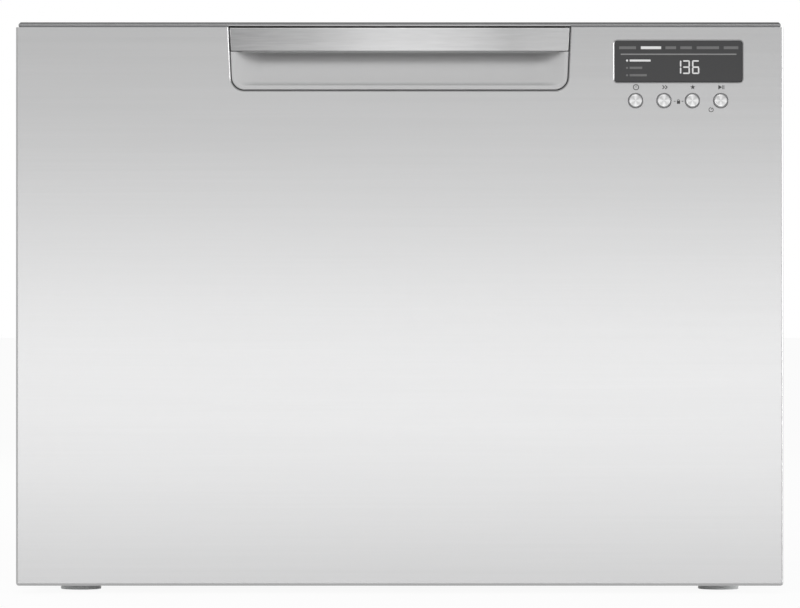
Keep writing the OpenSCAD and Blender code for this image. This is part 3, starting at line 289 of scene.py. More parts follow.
@dataclass(frozen=True)
class Finish:
    """A procedural material with its colour, gloss and grain.

    The slot names the frame's material that it stands for; it is not used. Depth is the height of
    the relief, and tone is how far light and dark lie from the colour. Centre and pitch place a
    pattern that belongs to one spot.
    """

    name: str
    slot: str
    colour: Point
    roughness: float
    grain: Grain
    metallic: float = 0.0
    depth: float = 0.02 * MM
    tone: float = 0.06
    coat: float = 0.0
    glow: float = 0.0
    centre: Point = (0.0, 0.0, 0.0)
    pitch: float = 1.0

    def material(self) -> bpy.types.Material:
        """Builds the material once.

        Returns:
            The finished material.
        """
        known = bpy.data.materials.get(self.name)
        if known is not None:
            return known
        made = bpy.data.materials.new(self.name)
        made.use_nodes = True
        net = Network(made.node_tree)
        place = net.node("ShaderNodeTexCoord", out="Object")
        height, shade, rough = getattr(self, "_" + self.grain.name.lower())(net, place)
        dark = tuple(c * (1 - self.tone) for c in self.colour) + (1.0,)
        light = tuple(min(1.0, c * (1 + self.tone)) for c in self.colour) + (1.0,)
        relief = {"Strength": 1.0, "Distance": self.depth, "Height": height}
        normal = net.node("ShaderNodeBump", {}, relief, "Normal")
        shader = net.node(
            "ShaderNodeBsdfPrincipled",
            {},
            {
                "Base Color": net.colour(shade, dark, light),
                "Roughness": rough,
                "Metallic": self.metallic,
                "Coat Weight": self.coat,
                "Coat Roughness": COAT_ROUGHNESS,
                "Emission Color": self.colour + (1.0,),
                "Emission Strength": self.glow,
                "Normal": normal,
            },
        )
        net.node("ShaderNodeOutputMaterial", {}, {"Surface": shader})
        return made

    def _brushed(self, net: Network, place: Term) -> tuple[Term, Term, Term]:
        """Fine lines along X with a few broader streaks.

        Args:
            net: the material's network.
            place: object coordinates.

        Returns:
            Height, shade and roughness.
        """
        fine = net.noise(place, (9.0, 1500.0, 2600.0), 2.0)
        broad = net.noise(place, (3.0, 90.0, 260.0), 3.0)
        shade = fine * 0.45 + broad * 0.55
        return fine, shade, self.roughness + (broad - 0.5) * 0.055

    def _crowned(self, net: Network, place: Term) -> tuple[Term, Term, Term]:
        """Brushed lines under a painted sheen: a highlight painted into the colour that fades
        towards both ends.

        Args:
            net: the material's network.
            place: object coordinates.

        Returns:
            Height, shade and roughness.
        """
        fine, shade, rough = self._brushed(net, place)
        # Painted highlight: the sheen is a colour ramp along X, not light from a lamp.
        sheen = net.ramp((net.axis(place, "X") - self.centre[0]) / self.pitch, PAINTED_GRIP_HIGHLIGHT)
        streak = net.noise(place, (45.0, 400.0, 700.0), 2.0)
        share = sheen * 0.92 + (streak - 0.5) * 0.3 + (shade - 0.5) * 0.2 + 0.05
        return fine, share, rough

    def _beaded(self, net: Network, place: Term) -> tuple[Term, Term, Term]:
        """Brushed lines with painted highlight and shade in bands up the trim, dark towards the
        top.

        Args:
            net: the material's network.
            place: object coordinates.

        Returns:
            Height, shade and roughness.
        """
        fine, shade, rough = self._brushed(net, place)
        # Painted highlight and shade: bands of the colour ramp up the trim stand in for light on
        # its rounded nose.
        bead = net.ramp((net.axis(place, "Z") - self.centre[2]) / self.pitch, PAINTED_TRIM_STOPS)
        return fine, bead * 0.92 + shade * 0.08, rough

    def _spun(self, net: Network, place: Term) -> tuple[Term, Term, Term]:
        """Turned rings with a highlight in four arms painted into the colour, as a spun cap
        reflects light.

        Args:
            net: the material's network.
            place: object coordinates.

        Returns:
            Height, shade and roughness.
        """
        near = net.vector("SUBTRACT", place, self.centre)
        up = net.axis(near, "Z")
        local = net.axis(near, "X").apply("WRAP", self.pitch / 2, -self.pitch / 2)
        radius = (local * local + up * up).apply("SQRT")
        # Painted highlight: the four-armed glint of a spun cap is painted into the colour; the
        # rings are relief.
        rays = (up.apply("ARCTAN2", local) * 4).apply("COSINE") * 0.5 + 0.5
        rings = (radius * 42000.0).apply("SINE") * 0.5 + 0.5
        speck = net.noise(place, (900.0, 900.0, 900.0), 1.0)
        return rings, rays * 0.8 + speck * 0.2, self.roughness + rings * 0.04

    def _spangle(self, net: Network, place: Term) -> tuple[Term, Term, Term]:
        """Flakes of zinc, each with its own tone.

        Args:
            net: the material's network.
            place: object coordinates.

        Returns:
            Height, shade and roughness.
        """
        flake = net.node("ShaderNodeTexVoronoi", {}, {"Vector": place, "Scale": 130.0}, "Color")
        tone = net.node("ShaderNodeSeparateColor", {}, {0: flake})
        cloud = net.noise(place, (14.0, 14.0, 14.0), 3.0)
        return cloud, tone * 0.6 + cloud * 0.4, self.roughness + (tone - 0.5) * 0.18

    def _moulded(self, net: Network, place: Term) -> tuple[Term, Term, Term]:
        """Grain of an eroded mould with slow changes of tone.

        Args:
            net: the material's network.
            place: object coordinates.

        Returns:
            Height, shade and roughness.
        """
        grain = net.noise(place, (1600.0, 1600.0, 1600.0), 2.0)
        cloud = net.noise(place, (9.0, 9.0, 9.0), 3.0)
        return grain, grain * 0.35 + cloud * 0.65, self.roughness + (cloud - 0.5) * 0.12

    def _satin(self, net: Network, place: Term) -> tuple[Term, Term, Term]:
        """Faint mottling and wipe marks on a smooth coat.

        Args:
            net: the material's network.
            place: object coordinates.

        Returns:
            Height, shade and roughness.
        """
        peel = net.noise(place, (260.0, 260.0, 260.0), 2.0)
        wipe = net.noise(place, (5.0, 22.0, 16.0), 4.0)
        return peel, peel * 0.3 + wipe * 0.7, self.roughness + (wipe - 0.5) * 0.14

    def _board(self, net: Network, place: Term) -> tuple[Term, Term, Term]:
        """Tracks between pads.

        Args:
            net: the material's network.
            place: object coordinates.

        Returns:
            Height, shade and roughness.
        """
        cells = net.node(
            "ShaderNodeTexBrick", {}, {"Vector": place, "Scale": 160.0, "Mortar Size": 0.03}, "Fac"
        )
        cloud = net.noise(place, (60.0, 60.0, 60.0), 2.0)
        return cells, cells * 0.7 + cloud * 0.3, self.roughness + cells * 0.1


STEEL = Finish(
    "brushed_front_steel", "steel_skin", (0.41, 0.41, 0.412), 0.31, Grain.BRUSHED,
    metallic=1.0, depth=0.004 * MM, tone=0.055,
)
# The grip's sheen is a highlight painted into its colour along X.
GRIP = Finish(
    "brushed_grip", "grip_aluminium", (0.415, 0.415, 0.417), 0.3, Grain.CROWNED,
    metallic=1.0, depth=0.004 * MM, tone=0.36, centre=(-0.133, 0.0, 0.0), pitch=0.266,
)
# The trim's bands are painted highlight and shade, set by the place up it.
TRIM = Finish(
    "anodised_trim", "aluminium_trim", (0.307, 0.307, 0.309), 0.3, Grain.BEADED,
    metallic=1.0, depth=0.002 * MM, tone=0.78, centre=(0.0, 0.0, 0.4426), pitch=0.0034,
)
# The cap's four-armed glint is a highlight painted into its colour.
CAP = Finish(
    "spun_cap", "aluminium_cap", (0.53, 0.53, 0.53), 0.3, Grain.SPUN,
    metallic=1.0, depth=0.004 * MM, tone=0.22,
    centre=(CAP_XS[0], 0.0, CAP_Z), pitch=CAP_XS[1] - CAP_XS[0],
)
SCOOP = Finish(
    "silver_lacquer", "scoop_plastic", (0.468, 0.468, 0.47), 0.42, Grain.SATIN,
    depth=0.004 * MM, tone=0.02,
)
SHEET = Finish(
    "cabinet_coat", "cabinet_sheet", (0.6, 0.61, 0.62), 0.42, Grain.SATIN,
    metallic=0.25, depth=0.006 * MM, tone=0.05,
)
ZINC = Finish(
    "galvanised_sheet", "galvanised", (0.55, 0.56, 0.57), 0.38, Grain.SPANGLE,
    metallic=0.9, depth=0.01 * MM, tone=0.14,
)
RUNNER = Finish(
    "plated_runner", "runner_steel", (0.58, 0.58, 0.6), 0.27, Grain.BRUSHED,
    metallic=1.0, depth=0.003 * MM, tone=0.07,
)
SCREW = Finish(
    "plated_screw", "screw_steel", (0.5, 0.49, 0.47), 0.3, Grain.SPANGLE,
    metallic=1.0, depth=0.004 * MM, tone=0.1,
)
DARK = Finish(
    "dark_moulding", "dark_plastic", (0.035, 0.035, 0.038), 0.5, Grain.MOULDED,
    depth=0.03 * MM, tone=0.16,
)
GREY = Finish(
    "grey_moulding", "grey_plastic", (0.16, 0.17, 0.18), 0.46, Grain.MOULDED,
    depth=0.03 * MM, tone=0.1,
)
WHITE = Finish(
    "white_moulding", "white_plastic", (0.74, 0.75, 0.75), 0.4, Grain.MOULDED,
    depth=0.02 * MM, tone=0.03,
)
TUB = Finish(
    "tub_moulding", "tub_plastic", (0.5, 0.52, 0.54), 0.34, Grain.MOULDED,
    depth=0.03 * MM, tone=0.05, coat=0.15,
)
BLUE = Finish(
    "blue_moulding", "blue_plastic", (0.03, 0.12, 0.4), 0.38, Grain.MOULDED,
    depth=0.02 * MM, tone=0.07,
)
ORANGE = Finish(
    "orange_moulding", "orange_plastic", (0.7, 0.22, 0.03), 0.4, Grain.MOULDED,
    depth=0.02 * MM, tone=0.07,
)
BASKET = Finish(
    "basket_moulding", "basket_plastic", (0.14, 0.165, 0.2), 0.42, Grain.MOULDED,
    depth=0.02 * MM, tone=0.06,
)
WIRE = Finish(
    "coated_wire", "rack_wire", (0.2, 0.23, 0.27), 0.33, Grain.SATIN,
    depth=0.01 * MM, tone=0.06, coat=0.2,
)
FILTER = Finish(
    "pierced_steel", "filter_steel", (0.56, 0.56, 0.57), 0.28, Grain.SATIN,
    metallic=1.0, depth=0.004 * MM, tone=0.07,
)
RING = Finish(
    "button_ring", "rubber_grey", (0.24, 0.24, 0.245), 0.5, Grain.MOULDED,
    depth=0.01 * MM, tone=0.06,
)
RUBBER = Finish(
    "grey_rubber", "rubber_grey", (0.17, 0.17, 0.175), 0.62, Grain.MOULDED,
    depth=0.03 * MM, tone=0.1,
)
BLACK = Finish(
    "black_rubber", "rubber_black", (0.022, 0.022, 0.023), 0.58, Grain.MOULDED,
    depth=0.03 * MM, tone=0.15,
)
PCB = Finish(
    "board_lacquer", "board_green", (0.02, 0.12, 0.05), 0.3, Grain.BOARD,
    depth=0.02 * MM, tone=0.3,
)
LENS = Finish(
    "tinted_window", "lens_glass", (0.022, 0.022, 0.023), 0.3, Grain.SATIN,
    depth=0.001 * MM, tone=0.02,
)
LIT = Finish(
    "lit_segment", "lens_glass", (0.5, 0.5, 0.5), 0.5, Grain.SATIN,
    depth=0.001 * MM, tone=0.01, glow=0.36,
)
DIM = Finish(
    "dim_segment", "lens_glass", (0.12, 0.12, 0.12), 0.5, Grain.SATIN,
    depth=0.001 * MM, tone=0.01,
)
RULE = replace(DIM, name="rule_line", colour=(0.2, 0.2, 0.2))
INK = Finish(
    "printed_mark", "dark_plastic", (0.03, 0.03, 0.03), 0.6, Grain.SATIN,
    depth=0.001 * MM, tone=0.05,
)
# Dark discs stand in for the filter plate's holes: painted shade where one would look into them.
HOLE_SHADE = Finish(
    "painted_hole_shade", "dark_plastic", (0.01, 0.01, 0.01), 0.7, Grain.MOULDED,
    depth=0.01 * MM, tone=0.1,
)


# ---------- Meshes ----------

MERGE = 1e-6  # points of a made mesh that lie nearer are one
WELD = 3e-6  # the same for the loose triangles of a frame node
FLAT_BELOW = math.radians(0.6)  # faces that turn less are one flat face
ROUND_ABOVE = math.radians(32)  # edges that turn more are rounded
SMOOTH_BELOW = 35.0  # edges that turn by fewer degrees are shaded smooth


def mesh_from(bm: bmesh.types.BMesh, name: str, outward: bool = True) -> bpy.types.Mesh:
    """Turns a bmesh into a mesh with merged doubles.

    Args:
        bm: the bmesh, which is freed.
        name: the mesh's name.
        outward: whether the normals are recalculated.

    Returns:
        The mesh.
    """
    bmesh.ops.remove_doubles(bm, verts=bm.verts, dist=MERGE)
    if outward:
        bmesh.ops.recalc_face_normals(bm, faces=bm.faces)
    made = bpy.data.meshes.new(name)
    bm.to_mesh(made)
    bm.free()
    return made


def prism(bm: bmesh.types.BMesh, outline: Sequence[Flat], y0: float, y1: float) -> None:
    """Adds a closed prism of an outline drawn in (X, Z) between two depths.

    Args:
        bm: the bmesh to add to.
        outline: its corners in order.
        y0: the front's depth.
        y1: the back's depth.
    """
    rings = [[bm.verts.new((x, y, z)) for x, z in outline] for y in (y0, y1)]
    bm.faces.new(rings[0])
    bm.faces.new(rings[1])
    n = len(outline)
    for i in range(n):
        j = (i + 1) % n
        bm.faces.new((rings[0][i], rings[0][j], rings[1][j], rings[1][i]))


def cuboid(bm: bmesh.types.BMesh, low: Point, high: Point) -> None:
    """Adds a block between two corners.

    Args:
        bm: the bmesh to add to.
        low: the lowest corner.
        high: the highest corner.
    """
    flat = [(low[0], low[2]), (high[0], low[2]), (high[0], high[2]), (low[0], high[2])]
    prism(bm, flat, low[1], high[1])


def ring_loft(bm: bmesh.types.BMesh, rings: Sequence[Sequence[Vector]], caps: bool = True) -> None:
    """Joins closed rings of points into a skin.

    Args:
        bm: the bmesh to add to.
        rings: rings of equally many points.
        caps: whether the ends are closed.
    """
    made = [[bm.verts.new(p) for p in ring] for ring in rings]
    n = len(made[0])
    for a, b in zip(made, made[1:]):
        for i in range(n):
            j = (i + 1) % n
            bm.faces.new((a[i], a[j], b[j], b[i]))
    if caps:
        bm.faces.new(made[0])
        bm.faces.new(made[-1])


def lathe(
    bm: bmesh.types.BMesh,
    profile: Sequence[Flat],
    centre: Point,
    axis: Point,
    sides: int,
    caps: bool = True,
) -> None:
    """Adds a turned piece.

    Args:
        bm: the bmesh to add to.
        profile: radius and height along the axis, from one end to the other.
        centre: the point of height 0.
        axis: the turning axis.
        sides: points round the axis.
        caps: whether the ends are closed.
    """
    turn = Vector((0, 0, 1)).rotation_difference(Vector(axis)).to_matrix()
    angles = [2 * math.pi * k / sides for k in range(sides)]
    rings = []
    for radius, height in profile:
        local = [Vector((radius * math.cos(a), radius * math.sin(a), height)) for a in angles]
        rings.append([Vector(centre) + turn @ p for p in local])
    ring_loft(bm, rings, caps)


def tube(
    bm: bmesh.types.BMesh, path: Sequence[Vector], radii: Sequence[float], sides: int
) -> None:
    """Adds a tube along a level path, with its own radius at each point.

    Args:
        bm: the bmesh to add to.
        path: the points of the middle line, all at one height.
        radii: the radius at each point.
        sides: points round the tube.
    """
    angles = [2 * math.pi * k / sides for k in range(sides)]
    rings = []
    for i, (point, radius) in enumerate(zip(path, radii)):
        ahead = path[min(i + 1, len(path) - 1)] - path[max(i - 1, 0)]
        side = Vector((ahead.y, -ahead.x, 0)).normalized()
        rings.append([
            point + side * (radius * math.cos(a)) + Vector((0, 0, radius * math.sin(a)))
            for a in angles
        ])
    ring_loft(bm, rings)


def softened(node: str, edge: float, deepest: float | None = None) -> bpy.types.Mesh:
    """Copies a frame node's mesh and rounds its sharp edges.

    Args:
        node: the node's name.
        edge: width of the rounding, which is narrower where faces are small.
        deepest: where it is given, only edges in front of this Y are rounded, at the full width.

    Returns:
        The new mesh.
    """
    bm = bmesh.new()
    bm.from_mesh(FRAME["nodes"][node].data)
    bmesh.ops.remove_doubles(bm, verts=bm.verts, dist=WELD)
    bmesh.ops.dissolve_limit(bm, angle_limit=FLAT_BELOW, verts=bm.verts, edges=bm.edges)
    sharp = [e for e in bm.edges if len(e.link_faces) == 2]
    sharp = [e for e in sharp if e.calc_face_angle(0.0) > ROUND_ABOVE]
    if deepest is not None:
        sharp = [e for e in sharp if max(v.co.y for v in e.verts) < deepest]
    bmesh.ops.bevel(
        bm, geom=sharp, offset=edge, segments=2 if deepest is None else 4, profile=0.5,
        affect="EDGES", clamp_overlap=deepest is None,
    )
    made = bpy.data.meshes.new(node + "_softened")
    bm.to_mesh(made)
    bm.free()
    return made


def linked(name: str, data: bpy.types.ID) -> bpy.types.Object:
    """Puts a new object into the scene.

    Args:
        name: its name.
        data: its mesh, lamp or camera.

    Returns:
        The object.
    """
    made = bpy.data.objects.new(name, data)
    bpy.context.scene.collection.objects.link(made)
    return made


def add_piece(
    name: str,
    made: bpy.types.Mesh,
    body: str | None,
    finish: Finish,
    stands_for: Sequence[str] = (),
    smooth: float = SMOOTH_BELOW,
) -> bpy.types.Object:
    """Puts a finished mesh into the scene and lets it ride on its body.

    Args:
        name: the piece's name.
        made: its mesh.
        body: the body that it moves with, or None for a piece that rides on no body.
        finish: its finish.
        stands_for: frame nodes that it replaces.
        smooth: edges that turn by fewer degrees are shaded smooth.

    Returns:
        The piece.
    """
    piece = linked(name, made)
    made.materials.clear()
    made.materials.append(finish.material())
    if not made.has_custom_normals:
        made.polygons.foreach_set("use_smooth", [True] * len(made.polygons))
        made.set_sharp_from_angle(angle=math.radians(smooth))
    if body is not None:
        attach(piece, body)
    if stands_for:
        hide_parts(*stands_for)
    LOG.info("%s on %s, %d faces", name, body, len(made.polygons))
    return piece


def even_shading(made: bpy.types.Mesh) -> bpy.types.Mesh:
    """Gives rounded edges normals that leave the flat faces beside them flat.

    Args:
        made: the mesh.

    Returns:
        The mesh with its normals set.
    """
    made.polygons.foreach_set("use_smooth", [True] * len(made.polygons))
    made.set_sharp_from_angle(angle=math.radians(SMOOTH_BELOW))
    carrier = linked("carrier", made)
    weights = carrier.modifiers.new("weights", "WEIGHTED_NORMAL")
    weights.keep_sharp = True
    graph = bpy.context.evaluated_depsgraph_get()
    shaded = bpy.data.meshes.new_from_object(carrier.evaluated_get(graph))
    bpy.data.objects.remove(carrier)
    return shaded


def dress(
    node: str, body: str, finish: Finish, edge: float, deepest: float | None = None
) -> bpy.types.Object:
    """Stands a rounded copy in for a frame node.

    Args:
        node: the node's name.
        body: the body that it moves with.
        finish: its finish.
        edge: width of the rounding.
        deepest: where it is given, only edges in front of this Y are rounded.

    Returns:
        The piece.
    """
    made = even_shading(softened(node, edge, deepest))
    return add_piece(node + "_made", made, body, finish, [node])


def joined(meshes: Sequence[bpy.types.Mesh], name: str) -> bpy.types.Mesh:
    """Joins meshes into one.

    Args:
        meshes: the meshes.
        name: the new mesh's name.

    Returns:
        The joined mesh.
    """
    bm = bmesh.new()
    for made in meshes:
        bm.from_mesh(made)
    whole = bpy.data.meshes.new(name)
    bm.to_mesh(whole)
    bm.free()
    return whole


# ---------- Geometry Nodes ----------

NO_STEP = (0.0, 0.0, 0.0)


class Pattern:
    """A Geometry Nodes tree that repeats or sweeps its own object's mesh."""

    def __init__(self, name: str, inputs: dict[str, str]) -> None:
        """Makes the tree with its named inputs.

        Args:
            name: the tree's name.
            inputs: socket type of each input, by name.
        """
        group = bpy.data.node_groups.new(name, "GeometryNodeTree")
        face = group.interface
        face.new_socket("Geometry", in_out="INPUT", socket_type="NodeSocketGeometry")
        self.keys = {
            key: face.new_socket(key, in_out="INPUT", socket_type=kind).identifier
            for key, kind in inputs.items()
        }
        face.new_socket("Geometry", in_out="OUTPUT", socket_type="NodeSocketGeometry")
        self.group = group
        self.net = Network(group)
        self.source = group.nodes.new("NodeGroupInput")

    def input(self, key: str) -> Term:
        """One of the tree's inputs, by its name."""
        return Term(self.net, self.source.outputs[key])

    def end(self, shape: Term) -> None:
        """Realizes the instances, sets the material and closes the tree.

        Args:
            shape: the geometry so far.
        """
        real = self.net.node("GeometryNodeRealizeInstances", {}, {0: shape})
        dressed = self.net.node("GeometryNodeSetMaterial", {}, {0: real, 2: self.input("Material")})
        self.net.node("NodeGroupOutput", {}, {0: dressed})

    def run(self, base: bpy.types.Mesh, finish: Finish, **values: object) -> bpy.types.Mesh:
        """Evaluates the tree on a mesh.

        Args:
            base: the mesh that the tree starts from.
            finish: the material that the tree sets.
            values: the tree's inputs by name.

        Returns:
            The plain result.
        """
        carrier = linked("carrier", base)
        modifier = carrier.modifiers.new("pattern", "NODES")
        modifier.node_group = self.group
        for key, value in {**values, "Material": finish.material()}.items():
            modifier[self.keys[key]] = value
        graph = bpy.context.evaluated_depsgraph_get()
        made = bpy.data.meshes.new_from_object(carrier.evaluated_get(graph))
        carrier.modifiers.remove(modifier)
        bpy.data.objects.remove(carrier)
        return made


class Patterns:
    """The three patterns that the appliance needs."""

    def __init__(self) -> None:
        """Builds the trees."""
        self.rows = self._rows()
        self.ring = self._ring()
        self.wires = self._wires()

    @staticmethod
    def _rows() -> Pattern:
        """Repeats a mesh in rows and columns.

        Returns:
            The pattern.
        """
        tree = Pattern(
            "repeat_in_rows",
            {
                "Columns": "NodeSocketInt", "Column Step": "NodeSocketVector",
                "Rows": "NodeSocketInt", "Row Step": "NodeSocketVector",
                "Material": "NodeSocketMaterial",
            },
        )
        net, shape = tree.net, tree.input("Geometry")
        for count, step in (("Columns", "Column Step"), ("Rows", "Row Step")):
            sockets = {"Count": tree.input(count), "Offset": tree.input(step)}
            line = net.node("GeometryNodeMeshLine", {}, sockets)
            sockets = {"Points": line, "Instance": shape}
            shape = net.node("GeometryNodeInstanceOnPoints", {}, sockets)
        tree.end(shape)
        return tree

    @staticmethod
    def _ring() -> Pattern:
        """Repeats a mesh round an upright axis.

        Returns:
            The pattern.
        """
        tree = Pattern(
            "repeat_in_a_ring",
            {
                "Count": "NodeSocketInt", "Centre": "NodeSocketVector",
                "Material": "NodeSocketMaterial",
            },
        )
        net, count = tree.net, tree.input("Count")
        points = net.node("GeometryNodeMeshLine", {}, {"Count": count, "Offset": (0.0, 0.0, 0.0)})
        turn = net.node("GeometryNodeInputIndex") * (2 * math.pi) / count
        angles = net.node("ShaderNodeCombineXYZ", {}, {2: turn})
        shape = net.node(
            "GeometryNodeInstanceOnPoints", {},
            {"Points": points, "Instance": tree.input("Geometry"), "Rotation": angles},
        )
        real = net.node("GeometryNodeRealizeInstances", {}, {0: shape})
        moved = net.node(
            "GeometryNodeTransform", {}, {"Geometry": real, "Translation": tree.input("Centre")}
        )
        tree.end(moved)
        return tree

    @staticmethod
    def _wires() -> Pattern:
        """Makes a row of bent wires from one open path.

        Returns:
            The pattern.
        """
        tree = Pattern(
            "row_of_wires",
            {
                "Count": "NodeSocketInt", "Step": "NodeSocketVector", "Radius": "NodeSocketFloat",
                "Bend": "NodeSocketFloat", "Material": "NodeSocketMaterial",
            },
        )
        net = tree.net
        path = net.node("GeometryNodeMeshToCurve", {}, {0: tree.input("Geometry")})
        bent = net.node(
            "GeometryNodeFilletCurve", {"mode": "POLY"},
            {"Curve": path, "Radius": tree.input("Bend"), "Count": 5},
        )
        round_bar = net.node(
            "GeometryNodeCurvePrimitiveCircle", {},
            {"Resolution": 10, "Radius": tree.input("Radius")},
        )
        wire = net.node(
            "GeometryNodeCurveToMesh", {},
            {"Curve": bent, "Profile Curve": round_bar, "Fill Caps": True},
        )
        line = net.node(
            "GeometryNodeMeshLine", {}, {"Count": tree.input("Count"), "Offset": tree.input("Step")}
        )
        tree.end(net.node("GeometryNodeInstanceOnPoints", {}, {"Points": line, "Instance": wire}))
        return tree

    def repeat(
        self, base: bpy.types.Mesh, finish: Finish,
        columns: int, column_step: Point, rows: int = 1, row_step: Point = NO_STEP,
    ) -> bpy.types.Mesh:
        """Equal copies of a mesh in columns and rows.

        Args:
            base: the first copy.
            finish: the finish of all.
            columns: how many columns.
            column_step: from one column to the next.
            rows: how many rows.
            row_step: from one row to the next.

        Returns:
            The copies as one mesh.
        """
        steps = {"Column Step": column_step, "Row Step": row_step}
        return self.rows.run(base, finish, Columns=columns, Rows=rows, **steps)

    def wire_row(
        self, path: Sequence[Point], radius: float,
        count: int = 1, step: Point = NO_STEP, bend: float = 0.0,
    ) -> bpy.types.Mesh:
        """A row of equal coated wires.

        Args:
            path: corners of the first wire's middle line.
            radius: the wire's radius.
            count: how many wires.
            step: from one wire to the next.
            bend: radius at the corners.

        Returns:
            The wires as one mesh.
        """
        line = bpy.data.meshes.new("wire_path")
        line.from_pydata(path, [(i, i + 1) for i in range(len(path) - 1)], [])
        return self.wires.run(line, WIRE, Count=count, Step=step, Radius=radius, Bend=bend)


# ---------- Studio ----------


@dataclass
class Studio:
    """Camera, lamps, floor and background.

    The fill is the background's strength for what it lights, and the floor's white share is how
    far it shines like the background. Each lamp has its name, place, aim, size and power.
    """

    eye: Point = (0.0003, -4.2865, 0.226)
    lens: float = 230.7
    fill: float = 0.55
    floor_tone: float = 0.86
    floor_white: float = 0.93
    lamps: tuple[tuple[str, Point, Point, Flat, float], ...] = (
        ("strip", (0.0, -1.5365, 0.14), (0.0, 0.0, 0.14), (2.6, 0.27), 4.75),
        ("right_box", (2.2, -0.5, 0.42), (0.0, -0.2857, 0.35), (0.7, 1.0), 14.0),
        ("top_box", (-0.6, -2.2, 2.6), (0.0, 0.0, 0.2), (2.0, 1.6), 27.0),
        ("rear_box", (-1.6, 2.4, 1.6), (0.0, 0.2, 0.2), (2.0, 1.6), 20.0),
    )

    def build(self) -> None:
        """Sets the whole studio up."""
        scene = bpy.context.scene
        scene.view_settings.view_transform = "Standard"
        data = bpy.data.cameras.new("camera")
        data.lens, data.sensor_width = self.lens, 36.0
        data.clip_end = 100.0
        camera = linked("camera", data)
        camera.location = self.eye
        camera.rotation_euler = (math.pi / 2, 0.0, 0.0)
        scene.camera = camera
        self._world(scene)
        self._floor()
        for lamp in self.lamps:
            self._lamp(*lamp)

    @staticmethod
    def _lamp(name: str, place: Point, aim: Point, size: Flat, power: float) -> None:
        """Adds one soft lamp that the camera doesn't see.

        Args:
            name: the lamp's name.
            place: where it hangs.
            aim: the point that it faces.
            size: its width and height.
            power: its power in watts.
        """
        data = bpy.data.lights.new(name, "AREA")
        data.shape, data.size, data.size_y = "RECTANGLE", size[0], size[1]
        data.energy = power
        lamp = linked(name, data)
        lamp.location = place
        lamp.rotation_euler = (Vector(aim) - Vector(place)).to_track_quat("-Z", "Y").to_euler()
        lamp.visible_camera = False

    @staticmethod
    def _seen(net: Network) -> Term:
        """Mask of the rays that see the background as white.

        Args:
            net: the network to add to.

        Returns:
            1 for camera, glossy and transmission rays.
        """
        camera, gloss, through = (
            net.node("ShaderNodeLightPath", out="Is %s Ray" % kind)
            for kind in ("Camera", "Glossy", "Transmission")
        )
        return camera.apply("MAXIMUM", gloss).apply("MAXIMUM", through)

    def _world(self, scene: bpy.types.Scene) -> None:
        """White to the camera and to gloss, a softer fill to the rest.

        Args:
            scene: the scene whose world is made.
        """
        world = bpy.data.worlds.new("studio")
        world.use_nodes = True
        net = Network(world.node_tree)
        fill = net.node("ShaderNodeBackground", {}, {"Color": (1, 1, 1, 1), "Strength": self.fill})
        white = net.node("ShaderNodeBackground", {}, {"Color": (1, 1, 1, 1), "Strength": 1.0})
        mixed = net.node("ShaderNodeMixShader", {}, {0: self._seen(net), 1: fill, 2: white})
        net.node("ShaderNodeOutputWorld", {}, {"Surface": mixed})
        scene.world = world

    def _floor(self) -> None:
        """Pale floor that keeps the object's shadow."""
        bm = bmesh.new()
        bmesh.ops.create_grid(bm, x_segments=2, y_segments=2, size=30.0)
        made = mesh_from(bm, "floor", outward=False)
        coat = bpy.data.materials.new("pale_floor")
        coat.use_nodes = True
        net = Network(coat.node_tree)
        matt = net.node("ShaderNodeBsdfDiffuse", {}, {"Color": (self.floor_tone,) * 3 + (1,)})
        white = net.node("ShaderNodeEmission", {}, {"Color": (1, 1, 1, 1), "Strength": 1.0})
        share = self._seen(net) * self.floor_white
        mixed = net.node("ShaderNodeMixShader", {}, {0: share, 1: matt, 2: white})
        net.node("ShaderNodeOutputMaterial", {}, {"Surface": mixed})
        made.materials.append(coat)
        linked("floor", made)


# ---------- Drawer front ----------


class Sheet:
    """A closed sheet-metal shape that is built up from rows of shared points."""

    def __init__(self) -> None:
        """Starts an empty shape."""
        self.bm = bmesh.new()
        self.known: dict[tuple[int, ...], bmesh.types.BMVert] = {}

    def row(self, points: Sequence[Flat], y: float) -> list[bmesh.types.BMVert]:
        """Points at one depth, shared with the points that are there already.

        Args:
            points: the points in (X, Z).
            y: their depth.

        Returns:
            The vertices.
        """
        made = []
        for x, z in points:
            key = (round(x * 1e7), round(y * 1e7), round(z * 1e7))
            if key not in self.known:
                self.known[key] = self.bm.verts.new((x, y, z))
            made.append(self.known[key])
        return made

    def face(self, corners: Iterable[bmesh.types.BMVert]) -> None:
        """One face, without corners that fall together.

        Args:
            corners: its corners in order.
        """
        apart = list(dict.fromkeys(corners))
        if len(apart) > 2:
            self.bm.faces.new(apart)

    def strip(
        self,
        first: Sequence[bmesh.types.BMVert],
        second: Sequence[bmesh.types.BMVert],
        closed: bool,
    ) -> None:
        """Faces between two rows.

        Args:
            first: one row.
            second: the other row, of equally many points.
            closed: whether the rows' ends meet.
        """
        count = len(first)
        for i in range(count if closed else count - 1):
            j = (i + 1) % count
            self.face((first[i], first[j], second[j], second[i]))

    def fill(self, loops: Sequence[Sequence[bmesh.types.BMVert]]) -> None:
        """Flat faces inside the first loop and outside the others.

        Args:
            loops: closed loops at one depth.
        """
        edges = []
        for loop in loops:
            for a, b in zip(loop, [*loop[1:], loop[0]]):
                if a is not b:
                    edges.append(self.bm.edges.get((a, b)) or self.bm.edges.new((a, b)))
        bmesh.ops.triangle_fill(
            self.bm, use_beauty=True, use_dissolve=False, edges=edges, normal=(0.0, -1.0, 0.0)
        )


